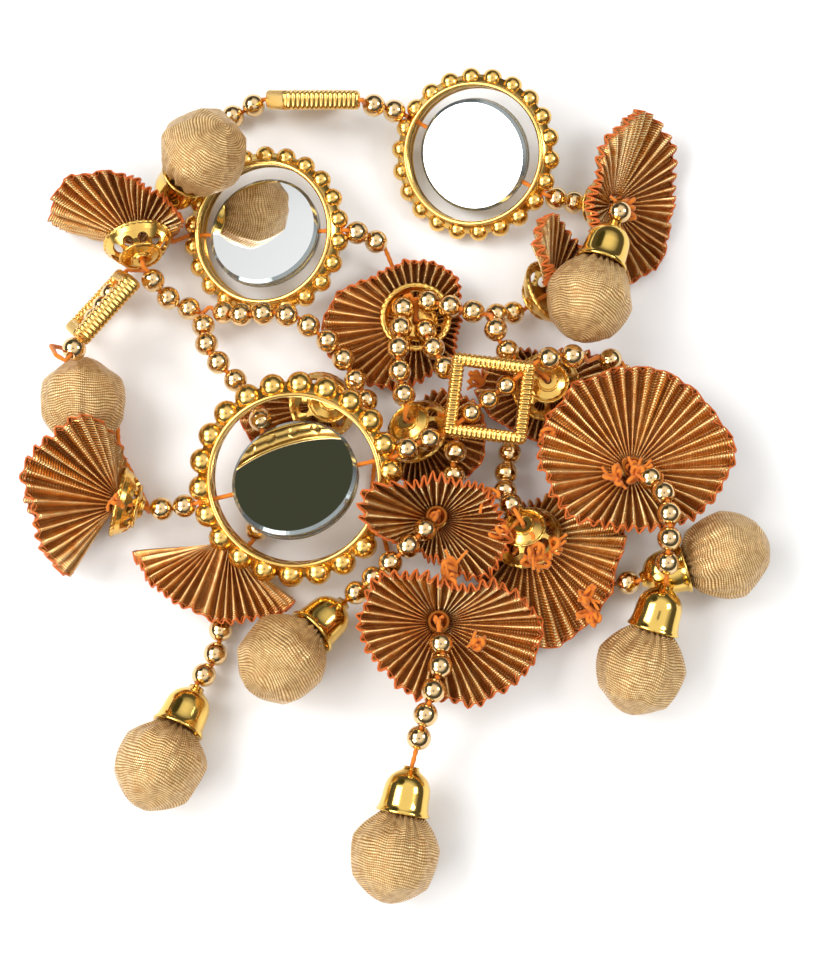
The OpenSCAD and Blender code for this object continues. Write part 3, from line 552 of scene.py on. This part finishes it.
def rim_ring(r, z, wire, n=96):
    return turned([(r + wire * math.cos(a), z + wire * math.sin(a))
                   for a in [2 * math.pi * i / 12 for i in range(12)]], n)


ring_h = 7.0
domes = 22
granule_r = 0.5


def medallion(m):
    row = MEDALLIONS[m]
    rh, dome = row[5] / 2, row[7] * 1.1
    rd = row[4] / 2 - row[7]
    h = ring_h / 2
    parts = [turned([(rh, 0.6 - h), (rh + 1, 0.6 - h), (rh + 1.5, -1.9), (rd + 0.7, -1.3),
                     (rd + 0.7, 1.3), (rh + 1.5, 1.9), (rh + 1, h - 0.6), (rh, h - 0.6)], 96)]
    for s in (-1, 1):
        parts.append(rim_ring(rh + 0.5, s * (h - 0.7), 0.7))
        for k in range(domes):
            a = 2 * math.pi * k / domes
            r = rd - dome * 0.62
            parts.append(ball_part(granule_r, [r * math.cos(a), r * math.sin(a), s * 1.9], 7, 12))
    for k in range(domes):
        a = 2 * math.pi * (k + 0.5) / domes
        parts.append(ball_part(dome, [rd * math.cos(a), rd * math.sin(a), 0], 16, 28))
    return put(joined(parts), row[0], ring_x(m), unit(row[2]))


for m, name in enumerate(("main", "left", "top")):
    piece("ring_" + name, *medallion(m), gold_mat, "cast_gold", ["medallion_" + name])


# Mirrors
# Two round silvered glasses lie back to back with the yarn between them, so that they turn freely in
# their ring. Their ground edge is darker.
mirror_mat, tree, shader = new_material("mirror_glass", (0.93, 0.94, 0.94), 1.0, 0.015)
edge_mat, tree, shader = new_material("mirror_edge", (0.30, 0.33, 0.33), 0.8, 0.12)
extra_turn = (3, 0, 0)
glass_t = 2.1
around = 96
for m, name in enumerate(("main", "left", "top")):
    row = MEDALLIONS[m]
    r = row[6] / 2
    x, n = ring_x(m), unit(row[2])
    a = math.radians(row[3] + extra_turn[m])
    k = n * math.cos(a) + np.cross(x, n) * math.sin(a)
    prof = [(0.02, -glass_t), (r - 0.9, -glass_t), (r, -1.5), (r, -0.15), (r - 0.3, 0), (r, 0.15),
            (r, 1.5), (r - 0.9, glass_t), (0.02, glass_t)]
    points, faces = turned(prof, around, False)
    faces += [list(range(around)), [around * (len(prof) - 1) + i for i in reversed(range(around))]]
    disc = put((points, faces), row[0], x, k)
    obj = piece("glass_" + name, *disc, mirror_mat, "mirror_glass", ["mirror_" + name])
    obj.data.materials.append(edge_mat)
    for i, poly in enumerate(obj.data.polygons):
        poly.material_index = 1 if around <= i < around * 7 else 0
        poly.use_smooth = around * 2 <= i < around * 6


# Square frames
# Cast frames, gold plated. The four bars look like wire coiled tightly over a core, with a row of
# small grains along the inner edge. Three beads on the yarn run from corner to corner.
bar_w, bar_t, coils = 3.7, 5.3, 17
grains, grain_r = 13, 0.55


def coiled_bar(length, w, t, turns):
    """One bar along X whose coils show as bulges, with rounded ends."""
    verts, faces = [], []
    steps, n = turns * 8, 20
    for i in range(steps + 1):
        s = i / steps
        for k in range(n):
            a = 2 * math.pi * k / n
            c, q = math.cos(a), math.sin(a)
            bulge = 0.84 + 0.16 * abs(math.sin(math.pi * (s * turns + 0.06 * c)))
            bulge *= min(1, 0.1 + min(s, 1 - s) * length / 1.4) ** 0.5
            verts.append([(s - 0.5) * length, w / 2 * np.sign(c) * abs(c) ** 0.6 * bulge,
                          t / 2 * np.sign(q) * abs(q) ** 0.6 * bulge])
    for i in range(steps):
        for k in range(n):
            faces.append([i * n + k, i * n + (k + 1) % n, (i + 1) * n + (k + 1) % n, (i + 1) * n + k])
    faces += [list(reversed(range(n))), [steps * n + k for k in range(n)]]
    return np.array(verts), faces


def square_frame(q):
    c, d = unit(SQUARES[q][1]), unit(SQUARES[q][2])
    z = unit(np.cross(c, d))
    x, y = unit(c + np.cross(z, c)), unit(np.cross(z, c) - c)
    parts = []
    for k in range(4):
        a = math.pi / 2 * k
        u, v = x * math.cos(a) + y * math.sin(a), y * math.cos(a) - x * math.sin(a)
        at = SQUARES[q][0] + v * (square_w / 2 - 1.75)
        parts.append(put(coiled_bar(square_w - 0.2, bar_w, bar_t, coils), at, u, z))
        for s in (-1, 1):
            for i in range(grains):
                p = at - v * 1.15 + z * s * 2.1 + u * (i - grains // 2) * 1.12
                g = ball_part(grain_r, [0, 0, 0], 6, 10)
                parts.append((g[0] + p, g[1]))
    return joined(parts)


for q, name in enumerate(("centre", "left", "top")):
    piece("frame_" + name, *square_frame(q), gold_mat, "cast_gold", ["square_" + name])


# Ribbon fans
# Ribbed metallic ribbon in copper and gold, knife-pleated and gathered to a point. Its outer edge is
# overlocked with orange thread, which shows as a fine zigzag.
PLEATS = 42
PER_PLEAT = 6
ROWS = 18
fan_r, hub_r = 25.0, 2.8
pleat_h, ruffle_h, ribbon_t = 1.6, 0.9, 0.56
edge_r, zigzag_r = 0.27, 0.15


def round_value(v, a):
    """Value at a degrees of a turn, from eight values around it."""
    k = int(a // 45)
    return between(v[(k + 7) % 8], v[k % 8], v[(k + 1) % 8], v[(k + 2) % 8], a / 45 - k)


def ribbon_grid(f):
    """Middle surface of a fan's ribbon, its normals and a wave of each column."""
    n = fan_axis(f)
    x = side(n)
    y = np.cross(n, x)
    hub_at = np.array(FANS[f][0], float)

    def way(a):
        e, c = math.radians(round_value(FANS[f][3], a)), math.radians(a)
        out = x * math.cos(c) + y * math.sin(c)
        return out, out * math.cos(e) + n * math.sin(e)

    ways = [way(a % 360)[1] for a in range(0, 361, 5)]
    run = np.concatenate([[0], np.cumsum([np.linalg.norm(b - a) for a, b in zip(ways, ways[1:])])])
    columns = PLEATS * PER_PLEAT
    angles = np.interp(np.arange(columns) * run[-1] / columns, run, np.arange(0, 361, 5))
    grid = np.zeros((ROWS + 1, columns, 3))
    low = min(2.1, hub_at[2])
    for c, a in enumerate(angles):
        out, w = way(a)
        reach = fan_r * round_value(FANS[f][4], a)
        for j in range(ROWS + 1):
            s = j / ROWS
            grid[j, c] = hub_at + out * hub_r + w * reach * s
            grid[j, c, 2] = max(grid[j, c, 2], low + (1 - s) * 0.2)
    round_way = np.roll(grid, -3, 1) - np.roll(grid, 3, 1)
    out_way = np.gradient(grid, axis=0)
    up = np.cross(round_way, out_way)
    up /= np.maximum(np.linalg.norm(up, axis=2, keepdims=True), 1e-6)
    return grid, up


def fan_parts(f):
    """A fan's ribbon, the orange threads of its edge, and the ribbon's area in square metres."""
    noise = random.Random(40 + f)
    grid, up = ribbon_grid(f)
    columns = grid.shape[1]
    tall = [noise.uniform(0.7, 1.15) for _ in range(PLEATS)]
    reach = [noise.uniform(0.95, 1.03) for _ in range(PLEATS)]
    lean = [noise.uniform(-0.35, 0.35) for _ in range(PLEATS)]
    lift = np.zeros((ROWS + 1, columns))
    for c in range(columns):
        k = c // PER_PLEAT
        wave = math.cos(2 * math.pi * (c / PER_PLEAT) + lean[k])
        wave = math.copysign(abs(wave) ** 0.75, wave)
        for j in range(ROWS + 1):
            s = j / ROWS
            lift[j, c] = wave * pleat_h * tall[k] * (0.1 + 0.9 * min(1, s * 1.25) ** 0.9)
            lift[j, c] += ruffle_h * s ** 2.5 * math.sin(c / columns * 2 * math.pi * 7 + f)
    for c in range(columns):
        k, t = c // PER_PLEAT, c % PER_PLEAT / PER_PLEAT
        share = reach[k] * (1 - t) + reach[(k + 1) % PLEATS] * t
        grid[:, c] = grid[0, c] + (grid[:, c] - grid[0, c]) * share
    top = grid + up * (lift[..., None] + ribbon_t / 2)
    base = grid + up * (lift[..., None] - ribbon_t / 2)
    for sheet_side in (top, base):
        sheet_side[..., 2] = np.maximum(sheet_side[..., 2], 0.1)
    verts, uv = [], []
    for sheet_side, half_fold in ((top, 0), (base, 0.5)):
        for j in range(ROWS + 1):
            for c in range(columns):
                verts.append(sheet_side[j, c])
                uv.append([c / PER_PLEAT + half_fold, j / ROWS * fan_r])
    m, half = columns, (ROWS + 1) * columns
    faces = []
    for i in range(columns):
        k = (i + 1) % columns
        for j in range(ROWS):
            faces.append([j * m + i, j * m + k, (j + 1) * m + k, (j + 1) * m + i])
            faces.append([half + (j + 1) * m + i, half + (j + 1) * m + k,
                          half + j * m + k, half + j * m + i])
        faces.append([i, half + i, half + k, k])
        faces.append([ROWS * m + k, half + ROWS * m + k, half + ROWS * m + i, ROWS * m + i])
    ribbon = (np.array(verts), faces, np.array(uv))
    crest = grid + up * lift[..., None]
    crest[..., 2] = np.maximum(crest[..., 2], 0.45)
    rim = [crest[ROWS, c % columns] for c in range(columns + 1)]
    threads = [tube(rim, edge_r, 6)]
    for s in (-1, 1):
        zig = []
        for i in range(0, columns + 1, 2):
            j = ROWS if (i // 2) % 2 else ROWS - 1
            inner = crest[j, i % columns]
            zig.append(inner + up[j, i % columns] * s * 0.42)
        threads.append(tube(zig, zigzag_r, 5))
    area = 0.0
    for j in range(ROWS):
        a, b = top[j], np.roll(top[j], -1, 0)
        c, d = top[j + 1], np.roll(top[j + 1], -1, 0)
        area += np.linalg.norm(np.cross(b - a, d - a), axis=1).sum() / 2
        area += np.linalg.norm(np.cross(d - a, c - a), axis=1).sum() / 2
    return ribbon, joined(threads), area * 1e-6


ribbon_mat, tree, shader = new_material("copper_ribbon", (0.5, 0.25, 0.1), 0.9, 0.2)


def math_node(tree, op, a, b=None, c=None):
    node = tree.nodes.new("ShaderNodeMath")
    node.operation = op
    for slot, value in zip(node.inputs, (a, b, c)):
        if value is None:
            continue
        if isinstance(value, (int, float)):
            slot.default_value = value
        else:
            tree.links.new(value, slot)
    return node.outputs[0]


coords = tree.nodes.new("ShaderNodeUVMap")
split = tree.nodes.new("ShaderNodeSeparateXYZ")
tree.links.new(coords.outputs["UV"], split.inputs[0])
# fold is 0 on a pleat's crest and 0.5 in the valley; the ribs slant from one to the other
fold = math_node(tree, "PINGPONG", split.outputs["X"], 0.5)
ridge = math_node(tree, "MULTIPLY_ADD", fold, -2.0, 1.0)
slant = math_node(tree, "MULTIPLY_ADD", fold, 9.0, math_node(tree, "MULTIPLY", split.outputs["Y"], 8.4))
rib = math_node(tree, "MULTIPLY_ADD", math_node(tree, "SINE", slant), 0.5, 0.5)
# Painted glints: a fine noise brightens and dims the crest highlight in small patches.
glint = tree.nodes.new("ShaderNodeTexNoise")
glint.inputs["Scale"].default_value = 420
glint.inputs["Detail"].default_value = 1
tree.links.new(tree.nodes.new("ShaderNodeTexCoord").outputs["Object"], glint.inputs["Vector"])
bright = math_node(tree, "MULTIPLY_ADD", glint.outputs["Fac"], 3.0, -0.4)
# Painted highlight: a bright gold colour along each pleat's crest, cut into dashes by the ribs' own
# pattern.
fac = math_node(tree, "MULTIPLY_ADD", math_node(tree, "POWER", ridge, 2.4), 1.5, 0.16)
fac = math_node(tree, "MULTIPLY", fac, rib)
fac = math_node(tree, "MINIMUM", math_node(tree, "MULTIPLY", fac, bright), 1.0)
# Painted shade: the colour darkens from each pleat's crest into its valley, where shade falls between the
# folds; the crest colour is the ribbon's own copper-orange.
valley = tree.nodes.new("ShaderNodeMix")
valley.data_type = "RGBA"
valley.inputs["A"].default_value = (0.13, 0.030, 0.002, 1)
valley.inputs["B"].default_value = (0.78, 0.28, 0.018, 1)
tree.links.new(math_node(tree, "POWER", ridge, 0.65), valley.inputs["Factor"])
crest_highlight_mix = tree.nodes.new("ShaderNodeMix")
crest_highlight_mix.data_type = "RGBA"
tree.links.new(valley.outputs["Result"], crest_highlight_mix.inputs["A"])
crest_highlight_mix.inputs["B"].default_value = (1.0, 0.80, 0.42, 1)
tree.links.new(fac, crest_highlight_mix.inputs["Factor"])
tree.links.new(crest_highlight_mix.outputs["Result"], shader.inputs["Base Color"])
bump = tree.nodes.new("ShaderNodeBump")
bump.inputs["Strength"].default_value = 0.8
bump.inputs["Distance"].default_value = 0.00025
tree.links.new(rib, bump.inputs["Height"])
tree.links.new(bump.outputs["Normal"], shader.inputs["Normal"])

thread_mat, tree, shader = new_material("orange_thread", (0.66, 0.14, 0.015), 0.0, 0.6)
for f in range(len(FANS)):
    ribbon, threads, area = fan_parts(f)
    name = "fan_%d" % (f + 1)
    verts, faces, uv = ribbon
    cloth = piece("ribbon_%d" % (f + 1), verts, faces, ribbon_mat, "pleated_ribbon", [name],
                  uv, PLEATS)
    edge = piece("edge_thread_%d" % (f + 1), *threads, thread_mat, "pleated_ribbon")


# Filigree caps
# Thin pierced sheet domes with rope wire around the rim, slid down the yarn onto the gathered back of
# each fan. One larger cup sits inside an open fan, and small copper cones close four hubs.
cap_mat, tree, shader = new_material("filigree_gold", (0.84, 0.52, 0.13), 1.0, 0.22)


def rope_ring(r, z, wire):
    n = int(r * 2 * math.pi / 0.45)
    route = [np.array([r * math.cos(2 * math.pi * i / n), r * math.sin(2 * math.pi * i / n), z])
             for i in range(n + 1)]
    return tube(route, wire, 8, 0.38)


CAPPED = [1, 2, 4, 5, 6, 7, 8, 10, 11, 12, 13]
parts = []
for k in CAPPED:
    n = fan_axis(k - 1)
    ropes = joined([rope_ring(8.9, -0.4, 0.75), rope_ring(5.6, -5.35, 0.45), rope_ring(2.7, -6.5, 0.4)])
    parts.append(put(ropes, hub(k - 1, -1), side(n), n))
ropes = joined([rope_ring(9.2, -0.3, 0.75), rope_ring(5.8, -4.1, 0.45)])
cup_at = np.array(FANS[8][0]) + [0, 0, 7.1]
parts.append(put(ropes, cup_at, np.array([1.0, 0, 0]), np.array([0, 0, 1.0])))
piece("cap_ropes", *joined(parts), cap_mat, "filigree_gold")
cone_mat, tree, shader = new_material("gathered_copper", (0.34, 0.10, 0.01), 0.8, 0.35)
for node in ["filigree_cap_%d" % k for k in CAPPED] + ["filigree_cup_9", "hub_cones"]:
    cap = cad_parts[node]
    cap.data.materials.clear()
    cap.data.materials.append(cone_mat if node == "hub_cones" else cap_mat)


# Bell caps
# Plain pressed brass bells, gold plated, with a flared lip and a collar. Each is pushed over the neck
# of a ball tassel and hangs on the yarn.
bell_mat, tree, shader = new_material("bell_gold", (0.85, 0.56, 0.14), 1.0, 0.12)


bell_r = 7.0


def bell_cap(b):
    r, h = bell_r, bell_h
    prof = [(r + 0.05, 0.5), (r, 0.1), (r - 0.3, 0), (r - 0.7, 0), (r - 1.3, 1.4), (r - 1.6, h * 0.3),
            (r - 1.9, h * 0.55), (r - 2.6, h * 0.7), (r - 4, h * 0.81), (1.15, h * 0.87), (1.15, h),
            (2, h), (2.1, h * 0.94), (r - 4.3, h * 0.9), (r - 3.4, h * 0.855), (r - 2.6, h * 0.8),
            (r - 2, h * 0.745), (r - 1.5, h * 0.67), (r - 1.1, h * 0.58), (r - 0.9, h * 0.45),
            (r - 0.8, h * 0.3), (r - 0.65, h * 0.2), (r - 0.5, 1.6), (r - 0.25, 1.0)]
    v = ball_axis(b)
    return put(turned(prof, 64), BALLS[b][0] + v * (ball_d / 2 - 1.5), side(v), v)


for b in range(len(BALLS)):
    piece("bell_%d" % (b + 1), *bell_cap(b), bell_mat, "bell_gold", ["bell_cap_%d" % (b + 1)])


# Ball tassels
# Stuffed balls under a strip of metallic mesh, which is gathered into a neck inside the bell cap. The
# cloth lies in soft flat panels, with small folds that fan out from the neck.
ball_mat, tree, shader = new_material("mesh_cloth", (0.8, 0.62, 0.42), 0.6, 0.33)
coords = tree.nodes.new("ShaderNodeUVMap")
split = tree.nodes.new("ShaderNodeSeparateXYZ")
tree.links.new(coords.outputs["UV"], split.inputs[0])
place = tree.nodes.new("ShaderNodeTexCoord")
wander = tree.nodes.new("ShaderNodeTexNoise")
wander.inputs["Scale"].default_value = 120
wander.inputs["Detail"].default_value = 1
tree.links.new(place.outputs["Object"], wander.inputs["Vector"])
straight = math_node(tree, "MULTIPLY", split.outputs["Y"], 8.4)
bent = math_node(tree, "MULTIPLY_ADD", wander.outputs["Fac"], 30.0, straight)
wavy = math_node(tree, "MULTIPLY_ADD", math_node(tree, "SINE", bent), 0.5, 0.5)
mesh_line = math_node(tree, "SINE", math_node(tree, "MULTIPLY", split.outputs["X"], 2 * math.pi * 120))
weave = math_node(tree, "MULTIPLY_ADD", mesh_line, 0.3, 0.7)
# Painted glints: a fine noise scales the bright share of the cloth up to more than twice, as sparkle on the
# metallic mesh; the wavy bands and mesh lines are the cloth's own pattern.
spark = tree.nodes.new("ShaderNodeTexNoise")
spark.inputs["Scale"].default_value = 650
spark.inputs["Detail"].default_value = 1
tree.links.new(place.outputs["Object"], spark.inputs["Vector"])
fac = math_node(tree, "MULTIPLY", math_node(tree, "POWER", wavy, 0.7), weave)
fac = math_node(tree, "MULTIPLY", fac, math_node(tree, "MULTIPLY", spark.outputs["Fac"], 2.2))
fac = math_node(tree, "MINIMUM", fac, 1.0)
cloth_mix = tree.nodes.new("ShaderNodeMix")
cloth_mix.data_type = "RGBA"
cloth_mix.inputs["A"].default_value = (0.36, 0.15, 0.03, 1)
cloth_mix.inputs["B"].default_value = (1.0, 0.74, 0.36, 1)
tree.links.new(fac, cloth_mix.inputs["Factor"])
tree.links.new(cloth_mix.outputs["Result"], shader.inputs["Base Color"])
bump = tree.nodes.new("ShaderNodeBump")
bump.inputs["Strength"].default_value = 0.7
bump.inputs["Distance"].default_value = 0.0003
tree.links.new(fac, bump.inputs["Height"])
tree.links.new(bump.outputs["Normal"], shader.inputs["Normal"])


def flat_panels(a, count, share):
    """Radius at angle a of a circle whose sides are partly flattened."""
    step = 2 * math.pi / count
    off = a % step - step / 2
    return 1 - share + share * math.cos(step / 2) / math.cos(off)


def ball(b):
    wild = random.Random(70 + b)
    turn, tilt = wild.uniform(0, 1), wild.uniform(0, 1)
    swirls = [(wild.randint(2, 5), wild.randint(2, 5), wild.uniform(0, 6.3)) for _ in range(5)]
    r, cols = ball_d / 2, 96
    lats = [("neck", 1.3, 17.0), ("neck", 2.0, 16.8), ("neck", 2.6, 14.4), ("neck", 3.0, 12.6)]
    lats += [("arc", math.radians(15.5 + 164 * i / 48), 0) for i in range(49)]
    verts, uv = [], []
    for kind, p, q in lats:
        for k in range(cols):
            a = 2 * math.pi * k / cols
            folds = math.cos(18 * a + 2.5 * math.sin(3 * a + turn))
            if kind == "neck":
                rr, z = p * (1 + 0.05 * folds), q
                v = 17.0 - q
            else:
                s = math.sin(p)
                f = flat_panels(a + turn + 0.3 * math.sin(p), 9, 0.5) * flat_panels(p + tilt, 7, 0.45)
                f *= 1 + 0.009 * sum(math.sin(c * a + d * p + e) for c, d, e in swirls) - 0.012
                f = 1 + (f - 1) * min(1, s * 1.6)
                near = math.exp(-((p - 0.27) / 1.1) ** 2)
                f *= 1 + 0.045 * folds * near - 0.02 * math.exp(-((p - 0.27) / 0.4) ** 2)
                rr, z = r * s * f, r * math.cos(p) * f
                v = 5.0 + r * p
            verts.append([rr * math.cos(a), rr * math.sin(a), z])
            uv.append([k / cols, v])
    faces = [[j * cols + i, (j + 1) * cols + i,
              (j + 1) * cols + (i + 1) % cols, j * cols + (i + 1) % cols]
             for j in range(len(lats) - 1) for i in range(cols)]
    faces += [list(range(cols)), [(len(lats) - 1) * cols + i for i in reversed(range(cols))]]
    v = ball_axis(b)
    return put((verts, faces), BALLS[b][0], side(v), v), uv


for b in range(len(BALLS)):
    shape, uv = ball(b)
    name = "ball_%d" % (b + 1)
    cloth = piece("cloth_" + name, *shape, ball_mat, "ball_cloth", [name], uv, 1)


# Table, light and camera
# A plain white table in a bright room with three soft lamps. A dim part of the room, high on the far
# side, is what the main mirror shows.
floor_mat, tree, shader = new_material("white_table", (0.93, 0.93, 0.925), 0.0, 0.55)
shader.inputs["Specular IOR Level"].default_value = 0.2
bpy.ops.mesh.primitive_plane_add(size=6, location=(0, 0, -0.0001))
floor = bpy.context.object
floor.name = "table"
floor.data.materials.append(floor_mat)

world = bpy.data.worlds.new("room")
bpy.context.scene.world = world
world.use_nodes = True
tree = world.node_tree
back = tree.nodes["Background"]
place = tree.nodes.new("ShaderNodeTexCoord")
split = tree.nodes.new("ShaderNodeSeparateXYZ")
tree.links.new(place.outputs["Generated"], split.inputs[0])
ramp = tree.nodes.new("ShaderNodeValToRGB")
ramp.color_ramp.elements[0].position = 0.0
ramp.color_ramp.elements[0].color = (0.10, 0.095, 0.09, 1)
ramp.color_ramp.elements[1].position = 1.0
ramp.color_ramp.elements[1].color = (1, 1, 1, 1)
for at, level in ((0.45, 0.10), (0.66, 0.60), (0.80, 1.05)):
    point = ramp.color_ramp.elements.new(at)
    point.color = (level, level, level, 1)
tree.links.new(split.outputs["Z"], ramp.inputs["Fac"])
light = ramp.outputs["Color"]
# Dark parts of the room: compass angle, elevation, half width in degrees and colour
for az, el, wide, shade in ((119, 36, 14, (0.05, 0.052, 0.03)), (-91, 79, 7, (0.06, 0.055, 0.05))):
    dot = tree.nodes.new("ShaderNodeVectorMath")
    dot.operation = "DOT_PRODUCT"
    dot.inputs[1].default_value = tuple(heading(az, el))
    tree.links.new(place.outputs["Generated"], dot.inputs[0])
    edge = tree.nodes.new("ShaderNodeMapRange")
    edge.interpolation_type = "SMOOTHSTEP"
    edge.inputs["From Min"].default_value = math.cos(math.radians(wide + 3))
    edge.inputs["From Max"].default_value = math.cos(math.radians(wide - 3))
    tree.links.new(dot.outputs["Value"], edge.inputs["Value"])
    mix = tree.nodes.new("ShaderNodeMix")
    mix.data_type = "RGBA"
    tree.links.new(edge.outputs["Result"], mix.inputs["Factor"])
    tree.links.new(light, mix.inputs["A"])
    mix.inputs["B"].default_value = (*shade, 1)
    light = mix.outputs["Result"]
tree.links.new(light, back.inputs["Color"])
back.inputs["Strength"].default_value = 1.05
bpy.context.scene.view_settings.view_transform = "Standard"

for name, at, size, power in (("softbox_left", (-0.7, 0.15, 0.85), 0.6, 7.0),
                              ("softbox_front", (-0.62, -0.48, 0.57), 0.5, 4.0),
                              ("softbox_right", (0.75, 0.1, 0.75), 0.3, 3.0)):
    data = bpy.data.lights.new(name, "AREA")
    data.energy = power
    data.size = size
    lamp = bpy.data.objects.new(name, data)
    bpy.context.collection.objects.link(lamp)
    lamp.location = at
    lamp.rotation_euler = (-Vector(at)).to_track_quat("-Z", "Y").to_euler()

camera = bpy.data.cameras.new("camera")
camera_obj = bpy.data.objects.new("camera", camera)
bpy.context.collection.objects.link(camera_obj)
bpy.context.scene.camera = camera_obj
camera.sensor_fit = "VERTICAL"
half_height_px, focal_px = 484.5, 1925.9
camera.angle = 2 * math.atan(half_height_px / focal_px)
camera.clip_end = 20
el = math.radians(78)
look = (np.array([6.5, 0, 8.0]) + middle) * 0.001
distance = 0.52
camera_obj.location = look + distance * np.array([0, -math.cos(el), math.sin(el)])
camera_obj.rotation_euler = (math.pi / 2 - el, 0, 0)
